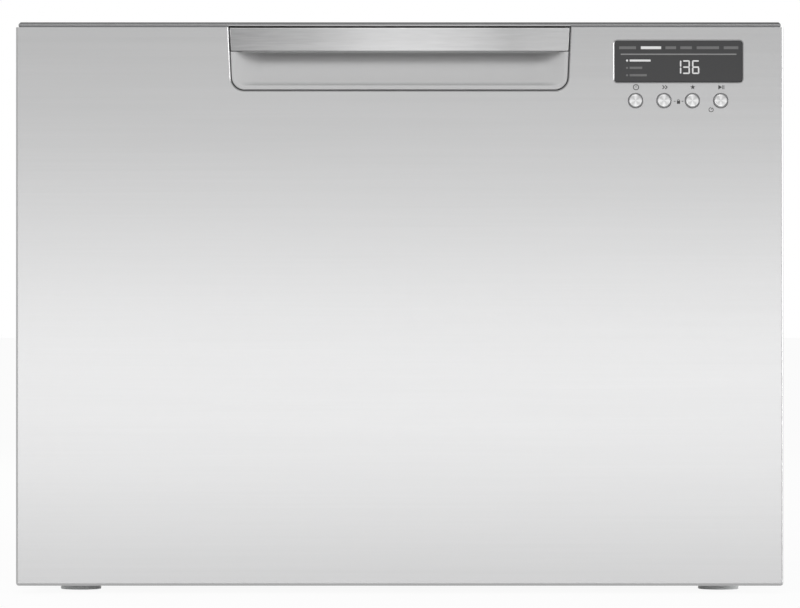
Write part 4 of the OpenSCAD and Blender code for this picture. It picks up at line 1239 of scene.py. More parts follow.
def grown(points: Sequence[Flat], grow: float, closed: bool) -> list[Flat]:
    """Moves an outline outwards. It runs clockwise, and an open one keeps the height of its ends.

    Args:
        points: the outline in (X, Z).
        grow: how far it moves.
        closed: whether its ends meet.

    Returns:
        The moved outline.
    """
    made = []
    count = len(points)
    for i, (x, z) in enumerate(points):
        if not closed and i in (0, count - 1):
            made.append((x + math.copysign(grow, x), z))
            continue
        corners = [Vector(points[k % count]) for k in (i - 1, i, i + 1)]
        steps = (corners[1] - corners[0], corners[2] - corners[1])
        first, second = (Vector((-d.y, d.x)).normalized() for d in steps)
        move = (first + second) * (grow / (1 + first.dot(second)))
        made.append((x + move.x, z + move.y))
    return made


@dataclass
class DrawerFront:
    """Steel skin, trim, finger scoop and grip.

    The scoop is a notch in the skin's top edge, with its half width at the top and at the foot,
    its height and its corners' radius. Its bowl is scoop_d deep behind the grip and foot_d deep
    at the foot, and gains that depth over the two sweeps. The profiles of the rim and of the dark
    strip in the joint, which stands in for the shadow line there, go outwards from the bowl's edge
    and backwards.
    """

    face: float = FACE
    skin_top: float = 0.442
    scoop_top: float = 0.1336
    scoop_bottom: float = 0.1313
    scoop_h: float = 0.0494
    scoop_r: float = 0.0105
    scoop_d: float = 0.0158
    foot_d: float = 0.0062
    hollow: float = 0.005
    grip_z: float = 0.423
    rim: float = 0.004
    rim_in: float = 0.4 * MM
    rim_profile: tuple[Flat, ...] = (
        (0.0, 0.25 * MM), (0.8 * MM, 0.06 * MM), (2.5 * MM, 0.0),
        (3.0 * MM, 0.12 * MM), (3.2 * MM, 0.45 * MM), (3.25 * MM, 3.0 * MM),
    )
    # The dark strip in the scoop's joint stands in for the shadow line there: painted shadow.
    shadow_strip_profile: tuple[Flat, ...] = (
        (3.3 * MM, 1.1 * MM), (5.2 * MM, 1.1 * MM), (5.2 * MM, 1.6 * MM), (3.3 * MM, 1.6 * MM),
    )
    side_sweep: float = 0.024
    low_sweep: float = 0.0036
    strip_end: float = 0.297
    half_w: float = 0.2995
    foot_z: float = 0.006
    skin_t: float = 0.001
    skin_r: float = 0.0022
    skin_back: float = -0.2572
    lens_mid: Flat = (0.21765, 0.4153)
    lens_half: Flat = (0.05015, 0.0163)
    lens_r: float = 0.0024
    cap_z: float = CAP_Z
    cap_xs: tuple[float, ...] = CAP_XS
    cap_hole: float = 0.0056
    notch_bevel: float = 0.92 * MM
    lens_bevel: float = 0.79 * MM
    cap_bevel: float = 0.5 * MM

    def build(self) -> None:
        """Builds and dresses the front."""
        self._skin()
        dress("top_trim", "drawer", TRIM, 0.3 * MM)
        dress("handle_grip", "drawer", GRIP, 0.7 * MM, self.face + 0.6 * MM)
        self._scoop()
        self._trim_gasket()
        dress("back_plate", "drawer", ZINC, 0.3 * MM)

    def _notch(self) -> list[Flat]:
        """The scoop's opening from its upper right end round to its upper left end.

        Returns:
            Points in (X, Z).
        """
        slope = math.atan((self.scoop_top - self.scoop_bottom) / self.scoop_h)
        r, foot = self.scoop_r, self.skin_top - self.scoop_h
        middle = self.scoop_bottom + r * math.tan(slope) - r / math.cos(slope)
        right = [(self.scoop_top, self.skin_top)]
        for k in range(13):
            a = -slope - (math.pi / 2 - slope) * k / 12
            right.append((middle + r * math.cos(a), foot + r + r * math.sin(a)))
        return right + [(-x, z) for x, z in reversed(right)]

    def _window(self) -> list[Flat]:
        """The display's opening, clockwise.

        Returns:
            Points in (X, Z).
        """
        (x, z), (w, h), r = self.lens_mid, self.lens_half, self.lens_r
        made = []
        for sx, sz, start in ((1, 1, 90), (1, -1, 0), (-1, -1, -90), (-1, 1, -180)):
            for k in range(7):
                a = math.radians(start - 15 * k)
                across, up = sx * (w - r) + r * math.cos(a), sz * (h - r) + r * math.sin(a)
                made.append((x + across, z + up))
        return made

    def _rounded_side(self, inset: float) -> list[Flat]:
        """The skin's outer side from its upper right end round to its upper left end.

        Args:
            inset: how far inside the outer side.

        Returns:
            Points in (X, Z).
        """
        r = self.skin_r - inset
        x, z = self.half_w - self.skin_r, self.foot_z + self.skin_r
        right = [(self.half_w - inset, self.skin_top)]
        turns = [math.pi / 12 * k for k in range(7)]
        right += [(x + r * math.cos(a), z - r * math.sin(a)) for a in turns]
        return right + [(-a, b) for a, b in reversed(right)]

    def _skin(self) -> None:
        """Folded steel skin with rolled outer edges and bevelled openings."""
        sheet = Sheet()
        r, t, inner = self.skin_r, self.skin_t, self.skin_r - self.skin_t
        turns = [math.pi / 12 * k for k in range(7)]
        profile = [(r - r * math.sin(a), r - r * math.cos(a)) for a in turns]
        profile += [(0.0, self.skin_back - self.face), (t, self.skin_back - self.face)]
        profile += [(r - inner * math.sin(a), r - inner * math.cos(a)) for a in reversed(turns)]
        rings = [sheet.row(self._rounded_side(inset), self.face + deep) for inset, deep in profile]
        for a, b in zip(rings, rings[1:]):
            sheet.strip(a, b, False)
        holes = [(self._notch(), self.notch_bevel), (self._window(), self.lens_bevel)]
        radius = self.cap_hole
        around = [-math.pi / 20 * k for k in range(40)]
        for x in self.cap_xs:
            circle = [(x + radius * math.cos(a), self.cap_z + radius * math.sin(a)) for a in around]
            holes.append((circle, self.cap_bevel))
        fronts, backs = [], []
        for k, (hole, edge) in enumerate(holes):
            rows = [
                sheet.row(grown(hole, edge, k > 0), self.face),
                sheet.row(hole, self.face + edge),
                sheet.row(hole, self.face + t),
            ]
            for a, b in zip(rows, rows[1:]):
                sheet.strip(a, b, k > 0)
            fronts.append(rows[0])
            backs.append(rows[2])
            if k == 0:
                for end in (0, -1):
                    sheet.face([ring[end] for ring in rings] + [row[end] for row in rows[::-1]])
        sheet.fill([rings[0] + fronts[0][::-1], *fronts[1:]])
        sheet.fill([rings[-1] + backs[0][::-1], *backs[1:]])
        made = even_shading(mesh_from(sheet.bm, "front_skin"))
        add_piece("front_skin_made", made, "drawer", STEEL, ["front_skin"])

    def _half_width(self, z: float, inset: float) -> float:
        """Half width of the scoop's outline at a height.

        Args:
            z: the height.
            inset: how far inside the outline.

        Returns:
            The half width, with the round lower corners.
        """
        low = self.skin_top - self.scoop_h + inset
        share = (z - (self.skin_top - self.scoop_h)) / self.scoop_h
        side = self.scoop_bottom + (self.scoop_top - self.scoop_bottom) * share - inset
        radius = self.scoop_r - inset
        if z < low + radius:
            drop = low + radius - z
            side -= radius - math.sqrt(max(0.0, radius * radius - drop * drop))
        return side

    def _trim_gasket(self) -> None:
        """Grey strip in the joint between the trim and the steel, beside the grip."""
        bm = bmesh.new()
        low, high = self.skin_top - 0.6 * MM, self.skin_top + 0.9 * MM
        front = self.face + 0.5 * MM
        for near, far in ((-self.strip_end, -self.scoop_top), (self.scoop_top, self.strip_end)):
            cuboid(bm, (near, front, low), (far, front + 0.25 * MM, high))
        add_piece("trim_gasket", mesh_from(bm, "trim_gasket"), "drawer", RUBBER)

    def _depth(self, x: float, z: float, low: float) -> float:
        """How far the bowl lies behind the rim at a place.

        Args:
            x: the place across the bowl.
            z: its height.
            low: the bowl's lowest height.

        Returns:
            The depth.
        """
        half = self._half_width(max(z, low + 1e-5), self.rim)
        side = math.sin(math.pi / 2 * min(1.0, (half - abs(x)) / self.side_sweep))
        rise = min(1.0, (z - low) / self.low_sweep)
        share = min(1.0, (z - low) / (self.grip_z - low))
        wall = self.foot_d + (self.scoop_d - self.foot_d) * (0.25 * share + 0.75 * share ** 4)
        depth = wall * side * math.sqrt(1 - (1 - rise) ** 2)
        return max(depth, self.hollow) if z > self.grip_z else depth

    def _outward(self, x: float, z: float, low: float) -> Flat:
        """Direction out of the bowl's outline at one of its points.

        Args:
            x: the point's place across.
            z: its height.
            low: the bowl's lowest height.

        Returns:
            The direction in (X, Z).
        """
        radius = self.scoop_r - self.rim
        middle = (self._half_width(low + radius, self.rim) - radius, low + radius)
        if z < middle[1] and abs(x) > middle[0] - 1e-6:
            out = Vector((abs(x) - middle[0], z - middle[1])).normalized()
            return (math.copysign(out.x, x), out.y)
        if z < middle[1]:
            return (0.0, -1.0)
        return (math.copysign(1.0, x), 0.0)

    def _scoop(self) -> None:
        """The finger scoop: a rounded rim and a bowl that goes on upwards behind the grip."""
        bm = bmesh.new()
        low = self.skin_top - self.scoop_h + self.rim
        top = self.skin_top - 3.0 * MM
        rim_y = self.face + self.rim_in
        inner_y = rim_y + self.rim_profile[0][1]
        columns, rows, upper = 84, 26, 8
        bends = [1 - math.cos(math.pi / 2 * r / rows) for r in range(rows + 1)]
        levels = [low + (self.grip_z - low) * bend for bend in bends]
        start = self.grip_z + 0.2 * MM
        levels += [start + (top - start) * k / upper for k in range(upper + 1)]
        grid = []
        for z in levels:
            half = self._half_width(max(z, low + 1e-5), self.rim)
            xs = [-half * math.cos(math.pi * c / columns) for c in range(columns + 1)]
            grid.append([bm.verts.new((x, inner_y + self._depth(x, z, low), z)) for x in xs])
        grid.append([bm.verts.new((v.co.x, rim_y + self.hollow, top)) for v in grid[-1]])
        for a, b in zip(grid, grid[1:]):
            for c in range(columns):
                bm.faces.new((a[c], a[c + 1], b[c + 1], b[c]))
        sides = grid[1:rows + 1]
        edge = [row[0] for row in sides[::-1]] + grid[0] + [row[-1] for row in sides]
        self._rim(bm, edge, rim_y, low)
        self._shadow_gasket(edge, low)
        made = mesh_from(bm, "finger_scoop")
        self._face_forward(made)
        piece = add_piece("finger_scoop", made, "drawer", SCOOP, ["handle_scoop"], 50.0)
        wall = piece.modifiers.new("wall", "SOLIDIFY")
        wall.thickness, wall.offset = 1.2 * MM, -1.0

    def _rim(
        self, bm: bmesh.types.BMesh, edge: Sequence[bmesh.types.BMVert], rim_y: float, low: float
    ) -> None:
        """Rounded rim that follows the bowl's edge and turns back at its outer side.

        Args:
            bm: the bmesh to add to.
            edge: the bowl's edge from one upper end round to the other.
            rim_y: depth of the rim's front.
            low: the bowl's lowest height.
        """
        outs = [self._outward(v.co.x, v.co.z, low) for v in edge]
        last = list(edge)
        for far, deep in self.rim_profile[1:]:
            ring = [
                bm.verts.new((v.co.x + out[0] * far, rim_y + deep, v.co.z + out[1] * far))
                for v, out in zip(edge, outs)
            ]
            for i in range(len(ring) - 1):
                bm.faces.new((last[i], last[i + 1], ring[i + 1], ring[i]))
            last = ring

    def _shadow_gasket(self, edge: Sequence[bmesh.types.BMVert], low: float) -> None:
        """Dark strip in the joint between the scoop's rim and the steel: it closes the gap and
        darkens it like the shadow line there, a painted shadow.

        Args:
            edge: the bowl's edge from one upper end round to the other.
            low: the bowl's lowest height.
        """
        bm = bmesh.new()
        last: list[bmesh.types.BMVert] = []
        for v in edge:
            x, z = v.co.xz
            out = self._outward(x, z, low)
            ring = [
                bm.verts.new((x + out[0] * far, self.face + deep, z + out[1] * far))
                for far, deep in self.shadow_strip_profile
            ]
            for k in range(4 if last else 0):
                bm.faces.new((last[k], last[(k + 1) % 4], ring[(k + 1) % 4], ring[k]))
            if not last:
                bm.faces.new(ring)
            last = ring
        bm.faces.new(last)
        # Black strip that closes the joint and paints its shadow line.
        add_piece("scoop_shadow_strip", mesh_from(bm, "scoop_shadow_strip"), "drawer", BLACK)

    @staticmethod
    def _face_forward(made: bpy.types.Mesh) -> None:
        """Turns an open sheet so that its normals look out of the front.

        Args:
            made: the sheet's mesh.
        """
        bm = bmesh.new()
        bm.from_mesh(made)
        if sum(f.normal.y * f.calc_area() for f in bm.faces) > 0:
            bmesh.ops.reverse_faces(bm, faces=bm.faces)
        bm.to_mesh(made)
        bm.free()


# ---------- Controls ----------


class Glyph(Enum):
    """What is printed by a button."""

    CLOCK = 0
    CHEVRONS = 1
    STAR = 2
    PLAY_PAUSE = 3


SEGMENTS = {
    0: "abcdef", 1: "bc", 2: "abged", 3: "abgcd", 4: "fgbc", 5: "afgcd", 6: "afgedc", 7: "abc",
    8: "abcdefg", 9: "abcdfg",
}


@dataclass
class Controls:
    """Display window, printed marks and spun buttons.

    Marks are placed in pixels of the camera's frame: frame_mid is the column of X 0, frame_top
    the row of top_z, and pixel_mm a pixel's size on the front.
    """

    face: float = FACE
    lens_y: float = -0.2849
    cap_front: float = -0.2865
    cap_z: float = CAP_Z
    mark_z: float = 0.3952
    mark_shift: float = 0.3 * MM
    cap_xs: tuple[float, ...] = CAP_XS
    cap_r: float = 0.0049
    pixel_mm: float = 0.7802
    frame_mid: float = 399.65
    frame_top: float = 22.0
    top_z: float = 0.446
    bar_t: float = 0.04 * MM
    ink_out: float = 0.03 * MM
    ink_in: float = 0.01 * MM
    number: tuple[int, ...] = (1, 3, 6)
    digit_foot: Flat = (682.8, 73.9)
    digit_shifts: tuple[float, ...] = (-8.6, 0.0, 9.4)
    digit_size: Flat = (7.3, 13.8)
    digit_pen: float = 1.12 * MM
    buttons: tuple[str, ...] = ("delay", "option", "favourite", "start")

    def build(self, patterns: Patterns) -> None:
        """Builds the window's contents, the marks and the buttons.

        Args:
            patterns: the shared patterns.
        """
        dress("display_lens", "drawer", LENS, 0.3 * MM)
        dress("control_housing", "drawer", DARK, 0.25 * MM)
        dress("display_board", "drawer", PCB, 0.1 * MM)
        dress("button_pad", "drawer", RUBBER, 0.15 * MM)
        self._window_marks()
        self._printed_marks()
        self._gaskets(patterns)
        for name, x in zip(self.buttons, self.cap_xs):
            self._cap(name, x)

    def _at(self, px: float, py: float) -> Flat:
        """Place on the front of a point of the camera's frame.

        Args:
            px: the column, from the frame's left.
            py: the row, from the frame's top.

        Returns:
            X and Z in metres.
        """
        across, down = px - self.frame_mid, py - self.frame_top
        return (across * self.pixel_mm * MM, self.top_z - down * self.pixel_mm * MM)

    def _cap(self, name: str, x: float) -> None:
        """A spun cap with a turned edge and its flange behind the skin.

        Args:
            name: the button's name.
            x: its place across the front.
        """
        r, front = self.cap_r, self.cap_front
        flange = r + 1.3 * MM
        profile = [
            (1e-5, 0.06 * MM), (r - 1.1 * MM, 0.0), (r - 0.65 * MM, 0.03 * MM),
            (r - 0.25 * MM, 0.2 * MM), (r, 0.55 * MM), (r, 2.1 * MM), (flange, 2.1 * MM),
            (flange, 3.1 * MM), (r, 3.1 * MM), (r, 4.8 * MM), (1e-5, 4.8 * MM),
        ]
        bm = bmesh.new()
        lathe(bm, profile, (x, front, self.cap_z), (0.0, 1.0, 0.0), 56)
        body = name + "_button"
        add_piece(name + "_cap", mesh_from(bm, body), body, CAP, [body], 30.0)

    @staticmethod
    def _oblong(left: float, right: float, low: float, high: float) -> list[Flat]:
        """The outline of a rectangle between two X and two Z."""
        return [(left, low), (right, low), (right, high), (left, high)]

    def _bars(self, bars: Iterable[tuple[float, float, float, float]]) -> bmesh.types.BMesh:
        """Flat bars on the lens, given in the frame's pixels.

        Args:
            bars: left, top, right and bottom of each bar.

        Returns:
            The bars.
        """
        bm = bmesh.new()
        for x0, y0, x1, y1 in bars:
            (left, top), (right, bottom) = self._at(x0, y0), self._at(x1, y1)
            flat = self._oblong(left, right, bottom, top)
            prism(bm, flat, self.lens_y - self.bar_t, self.lens_y)
        return bm

    def _gaskets(self, patterns: Patterns) -> None:
        """Dark rings between the buttons and the steel.

        Args:
            patterns: the shared patterns.
        """
        bm = bmesh.new()
        near, far = self.cap_r + 0.1 * MM, self.cap_r + 0.66 * MM
        profile = [(near, 0.0), (far, 0.0), (far, 0.5 * MM), (near, 0.5 * MM), (near, 0.0)]
        place = (self.cap_xs[0], self.face + 0.45 * MM, self.cap_z)
        lathe(bm, profile, place, (0.0, 1.0, 0.0), 48, False)
        step = (self.cap_xs[1] - self.cap_xs[0], 0.0, 0.0)
        made = patterns.repeat(mesh_from(bm, "gasket"), RING, len(self.cap_xs), step)
        add_piece("button_gaskets", made, "drawer", RING)

    def _window_marks(self) -> None:
        """Plain bars in place of words, a rule, three dots and a number."""
        words = [
            (619.3, 636.1), (641.0, 661.3), (665.6, 676.2),
            (680.5, 692.1), (696.8, 719.2), (723.9, 738.5),
        ]
        options = [(629.8, 650.7, 60.4), (629.8, 642.4, 67.7), (629.8, 646.9, 75.1)]
        dim = [(a, 46.2, b, 49.0) for k, (a, b) in enumerate(words) if k != 1]
        dim += [(a, y - 1.1, b, y + 1.1) for a, b, y in options[1:]]
        rule = [(620.9, 53.45, 736.6, 54.75)]
        lit = [(641.0, 46.2, 661.3, 49.0), (629.8, 59.4, 650.7, 61.4)]
        self._show("unlit_words", self._bars(dim), DIM)
        self._show("window_rule", self._bars(rule), RULE)
        self._show("lit_words", self._bars(lit), LIT)
        radius = 0.85 * MM
        dot = [(1e-5, -self.bar_t), (radius, -self.bar_t), (radius, 0.0), (1e-5, 0.0)]
        for k, finish in enumerate((LIT, DIM, DIM)):
            bm = bmesh.new()
            x, z = self._at(627.2, 60.4 + 7.35 * k)
            lathe(bm, dot, (x, self.lens_y, z), (0.0, 1.0, 0.0), 16)
            self._show("option_dot_%d" % (k + 1), bm, finish)
        self._number()

    def _number(self) -> None:
        """The number in seven-segment digits."""
        bm = bmesh.new()
        wide, tall = (side * self.pixel_mm * MM for side in self.digit_size)
        pen = self.digit_pen
        gap, cut = pen * 0.2, pen * 0.42 + pen * 0.2
        left, low = self._at(*self.digit_foot)
        mid, top = low + tall / 2, low + tall
        for shift, digit in zip(self.digit_shifts, self.number):
            x0 = left + shift * self.pixel_mm * MM
            x1 = x0 + wide
            spans = {
                "a": (x0, top - pen, x1, top), "b": (x1 - pen, mid, x1, top),
                "c": (x1 - pen, low, x1, mid), "d": (x0, low, x1, low + pen),
                "e": (x0, low, x0 + pen, mid), "f": (x0, mid, x0 + pen, top),
                "g": (x0, mid - pen / 2, x1, mid + pen / 2),
            }
            for key in SEGMENTS[digit]:
                a, b, c, d = spans[key]
                if key in "adg":
                    flat = [(a + gap, (b + d) / 2), (a + cut, b), (c - cut, b),
                            (c - gap, (b + d) / 2), (c - cut, d), (a + cut, d)]
                else:
                    flat = [((a + c) / 2, b + gap), (c, b + cut), (c, d - cut),
                            ((a + c) / 2, d - gap), (a, d - cut), (a, b + cut)]
                prism(bm, flat, self.lens_y - self.bar_t, self.lens_y)
        self._show("time_digits", bm, LIT)

    @staticmethod
    def _show(name: str, bm: bmesh.types.BMesh, finish: Finish) -> None:
        """Adds printed or lit marks to the drawer.

        Args:
            name: the piece's name.
            bm: its shape.
            finish: its finish.
        """
        add_piece(name, mesh_from(bm, name), "drawer", finish, (), 20.0)

    @staticmethod
    def _ring(
        centre: Flat, outer: float, pen: float, gap: Flat = (0.0, 0.0)
    ) -> list[list[Flat]]:
        """A ring as short chords.

        Args:
            centre: its middle.
            outer: the outer radius.
            pen: the line's width.
            gap: angles between which the ring is open.

        Returns:
            Outlines of the chords.
        """
        chords = []
        count = 28
        for k in range(count):
            a, b = 2 * math.pi * k / count, 2 * math.pi * (k + 1) / count
            if gap[0] < math.degrees((a + b) / 2) < gap[1]:
                continue
            ends = [(outer, a), (outer, b), (outer - pen, b), (outer - pen, a)]
            chords.append([
                (centre[0] + r * math.cos(t), centre[1] + r * math.sin(t)) for r, t in ends
            ])
        return chords

    @staticmethod
    def _line(a: Flat, b: Flat, pen: float) -> list[Flat]:
        """A straight stroke.

        Args:
            a: its start.
            b: its end.
            pen: its width.

        Returns:
            The stroke's outline.
        """
        along = Vector((b[0] - a[0], b[1] - a[1])).normalized()
        side = Vector((-along.y, along.x)) * pen / 2
        return [(a[0] - side.x, a[1] - side.y), (b[0] - side.x, b[1] - side.y),
                (b[0] + side.x, b[1] + side.y), (a[0] + side.x, a[1] + side.y)]

    def _glyph(self, glyph: Glyph, c: Flat) -> list[list[Flat]]:
        """Outlines of one mark.

        Args:
            glyph: which mark.
            c: its middle.

        Returns:
            The outlines.
        """
        x, z = c
        pen = 0.62 * MM
        if glyph is Glyph.CLOCK:
            shapes = self._ring(c, 2.35 * MM, pen)
            shapes += [self._line((x, z - 0.2 * MM), (x, z + 1.4 * MM), pen * 0.8)]
            return shapes
        if glyph is Glyph.CHEVRONS:
            shapes = []
            for shift in (-1.5 * MM, 0.7 * MM):
                tip = (x + shift + 1.5 * MM, z)
                shapes += [self._line((x + shift, z + 1.4 * MM), tip, pen * 1.2)]
                shapes += [self._line((x + shift, z - 1.4 * MM), tip, pen * 1.2)]
            return shapes
        if glyph is Glyph.STAR:
            points = []
            for k in range(10):
                r = (2.1 if k % 2 == 0 else 0.86) * MM
                t = math.pi / 2 + math.pi * k / 5
                points.append((x + r * math.cos(t), z + r * math.sin(t)))
            return [[c, points[k - 1], points[k], points[(k + 1) % 10]] for k in range(0, 10, 2)]
        shapes = [[(x - 2.2 * MM, z - 1.75 * MM), (x + 0.7 * MM, z), (x - 2.2 * MM, z + 1.75 * MM)]]
        for left in (x + 0.9 * MM, x + 1.9 * MM):
            shapes.append(self._oblong(left, left + 0.55 * MM, z - 1.5 * MM, z + 1.5 * MM))
        return shapes

    def _printed_marks(self) -> None:
        """Plain marks over the buttons, a padlock and a cancel sign."""
        shapes: dict[str, list[list[Flat]]] = {}
        for glyph, x in zip(Glyph, self.cap_xs):
            middle = (x + self.mark_shift, self.mark_z)
            shapes[glyph.name.lower() + "_mark"] = self._glyph(glyph, middle)
        row = 101.2
        x, z = self._at(678.6, row)
        body = self._oblong(x - 1.25 * MM, x + 1.25 * MM, z - 2.0 * MM, z + 0.4 * MM)
        shackle = self._ring((x, z + 0.5 * MM), 1.05 * MM, 0.4 * MM, (190.0, 350.0))
        dashes = [
            self._line(self._at(a, row), self._at(b, row), 0.5 * MM)
            for a, b in ((673.9, 675.8), (681.6, 683.5))
        ]
        shapes["padlock_mark"] = [body, *shackle, *dashes]
        x, z = self._at(711.2, 109.6)
        hand = self._line((x - 0.1 * MM, z + 0.1 * MM), (x + 1.1 * MM, z + 1.5 * MM), 0.5 * MM)
        shapes["cancel_mark"] = [*self._ring((x, z), 1.95 * MM, 0.5 * MM, (50.0, 88.0)), hand]
        for name, outlines in shapes.items():
            bm = bmesh.new()
            for outline in outlines:
                prism(bm, outline, self.face - self.ink_out, self.face + self.ink_in)
            self._show(name, bm, INK)


# ---------- Cabinet ----------


@dataclass
class Cabinet:
    """Sheet metal body, rear cover, service ports, feet and runners.

    Each plain piece has its node, its body, its finish and its rounding in millimetres.
    """

    rear: float = 0.2849
    half: float = 0.271
    screw_low: float = 0.0215
    screw_high: float = 0.429
    cover_shaft: float = 4.8 * MM
    rail_x: float = 0.295
    rail_screw_y: float = -0.1947
    rail_screw_step: float = 0.2
    rail_shaft: float = 1.4 * MM
    runner_z: float = 0.23
    slot_x: float = -0.2
    slot_z: float = 0.056
    slot_l: float = 0.018
    slot_h: float = 0.004
    slot_step: Flat = (0.025, 0.014)
    slot_n: tuple[int, int] = (7, 4)
    swages: tuple[tuple[float, float, float, float], ...] = (
        (-0.25, 0.25, 0.15, 0.4), (-0.215, 0.215, 0.185, 0.365),
    )
    swage_r: float = 0.03
    feet: tuple[tuple[str, float, float], ...] = (
        ("foot_front_left", -0.253, -0.2147), ("foot_front_right", 0.253, -0.2147),
        ("foot_rear_left", -0.253, 0.2229), ("foot_rear_right", 0.253, 0.2229),
    )
    grip_low: Point = (15.2 * MM, -0.7 * MM, 0.9 * MM)
    grip_high: Point = (15.95 * MM, 0.7 * MM, 5.0 * MM)
    grip_n: int = 36
    inlet: Point = (0.1922, 0.2488, 0.05)
    plain: tuple[tuple[str, str, Finish, float], ...] = (
        ("cabinet_shell", "cabinet", SHEET, 0.2), ("base_tray", "cabinet", DARK, 0.5),
        ("rear_cover", "cabinet", ZINC, 0.2), ("cabinet_seal", "cabinet", BLACK, 0.5),
        ("service_bay", "cabinet", GREY, 0.5),
        ("inlet_valve", "cabinet", WHITE, 0.6), ("bay_fittings", "cabinet", DARK, 0.4),
        ("power_module", "cabinet", DARK, 0.8), ("lid_drives", "cabinet", GREY, 0.8),
        ("runner_rail_left", "cabinet", RUNNER, 0.3), ("runner_rail_right", "cabinet", RUNNER, 0.3),
        ("runner_middle_left", "runner_middle_left", RUNNER, 0.3),
        ("runner_middle_right", "runner_middle_right", RUNNER, 0.3),
        ("runner_slide_left", "drawer", RUNNER, 0.3), ("runner_slide_right", "drawer", RUNNER, 0.3),
    )

    def build(self, patterns: Patterns) -> None:
        """Builds and dresses the cabinet.

        Args:
            patterns: the shared patterns.
        """
        for node, body, finish, edge in self.plain:
            dress(node, body, finish, edge * MM)
        self._screws(patterns)
        self._rear_ribs()
        self._slot_lips(patterns)
        self._feet(patterns)
        self._thread()

    @staticmethod
    def screw(bm: bmesh.types.BMesh, place: Point, axis: Point, shaft: float) -> None:
        """A pan-head screw with a cross recess.

        Args:
            bm: the bmesh to add to.
            place: the middle of the head's seat.
            axis: out of the head.
            shaft: the length of its thread.
        """
        profile = [
            (1e-5, -shaft), (1.2 * MM, -shaft), (2.0 * MM, -shaft + 0.8 * MM), (2.0 * MM, 0.0),
            (4.0 * MM, 0.0), (4.0 * MM, 0.55 * MM), (3.7 * MM, 1.0 * MM), (3.0 * MM, 1.35 * MM),
            (2.1 * MM, 1.5 * MM), (1.9 * MM, 0.8 * MM), (1e-5, 0.6 * MM),
        ]
        lathe(bm, profile, place, axis, 20)
        turn = Vector((0, 0, 1)).rotation_difference(Vector(axis)).to_matrix()
        wedge = ((0.45, 0.45), (1.95, 0.45), (1.4, 1.4), (0.45, 1.95))
        for quarter in range(4):
            spin = turn @ Matrix.Rotation(math.pi * (0.25 + 0.5 * quarter), 3, "Z")
            ring_loft(bm, [
                [Vector(place) + spin @ (Vector((a, b, height)) * MM) for a, b in wedge]
                for height in (0.6, 1.5)
            ])

    def _screws(self, patterns: Patterns) -> None:
        """Screws of the rear cover and of the rails.

        Args:
            patterns: the shared patterns.
        """
        bm = bmesh.new()
        place = (-self.half, self.rear, self.screw_low)
        self.screw(bm, place, (0.0, 1.0, 0.0), self.cover_shaft)
        rise = (0.0, 0.0, self.screw_high - self.screw_low)
        across = (self.half, 0.0, 0.0)
        parts = [patterns.repeat(mesh_from(bm, "rear_screw"), SCREW, 3, across, 2, rise)]
        along = (0.0, self.rail_screw_step, 0.0)
        for side in (-1.0, 1.0):
            bm = bmesh.new()
            place = (side * (self.rail_x - 1.5 * MM), self.rail_screw_y, self.runner_z)
            self.screw(bm, place, (-side, 0.0, 0.0), self.rail_shaft)
            parts.append(patterns.repeat(mesh_from(bm, "rail_screw"), SCREW, 3, along))
        made = joined(parts, "cabinet_fasteners")
        add_piece("cabinet_fasteners", made, "cabinet", SCREW, ["cabinet_screws"])

    def _rear_ribs(self) -> None:
        """Pressed swages that stiffen the rear cover."""
        bm = bmesh.new()
        r = self.swage_r
        turns = [math.pi * k / 8 for k in range(9)]
        for x0, x1, z0, z1 in self.swages:
            corners = ((x1 - r, z1 - r), (x0 + r, z1 - r), (x0 + r, z0 + r), (x1 - r, z0 + r))
            path = []
            for quarter, (cx, cz) in enumerate(corners):
                for k in range(7):
                    a = math.radians(90 * quarter + 15 * k)
                    path.append((cx + r * math.cos(a), cz + r * math.sin(a), a))
            rings = []
            for x, z, a in path + path[:1]:
                out = Vector((math.cos(a), 0, math.sin(a)))
                seat = Vector((x, self.rear - 0.1 * MM, z))
                rings.append([
                    seat + Vector((0, 1.2 * MM * math.sin(t), 0)) + out * (3.5 * MM * math.cos(t))
                    for t in turns
                ])
            ring_loft(bm, rings, caps=False)
        add_piece("rear_swages", mesh_from(bm, "rear_swages"), "cabinet", ZINC)

    def _slot_lips(self, patterns: Patterns) -> None:
        """Raised lips round the cooling slots.

        Args:
            patterns: the shared patterns.
        """
        bm = bmesh.new()
        r = self.slot_h / 2
        half = self.slot_l / 2 - r
        outline = [
            (self.slot_x + side * half, math.radians(start + 22.5 * k))
            for side, start in ((1, -90), (-1, 90)) for k in range(9)
        ]
        rings = []
        for grow, out in ((0.0, -0.6), (0.0, 0.6), (0.9, 0.6), (1.3, 0.1), (1.3, -0.6)):
            reach, y = r + grow * MM, self.rear + out * MM
            rings.append([
                Vector((x + reach * math.cos(a), y, self.slot_z + reach * math.sin(a)))
                for x, a in outline
            ])
        ring_loft(bm, rings + rings[:1], caps=False)
        across, rise = (self.slot_step[0], 0.0, 0.0), (0.0, 0.0, self.slot_step[1])
        lip, (columns, rows) = mesh_from(bm, "slot_lip"), self.slot_n
        made = patterns.repeat(lip, ZINC, columns, across, rows, rise)
        add_piece("cooling_slot_lips", made, "cabinet", ZINC)

    def _feet(self, patterns: Patterns) -> None:
        """Levelling feet with a gripped rim.

        Args:
            patterns: the shared patterns.
        """
        for foot, x, y in self.feet:
            bm = bmesh.new()
            cuboid(bm, self.grip_low, self.grip_high)
            grip = mesh_from(bm, "grip")
            grips = patterns.ring.run(grip, WHITE, Count=self.grip_n, Centre=(x, y, 0.0))
            made = even_shading(joined([softened(foot, 0.5 * MM), grips], foot + "_made"))
            add_piece(foot + "_made", made, foot, WHITE, [foot])

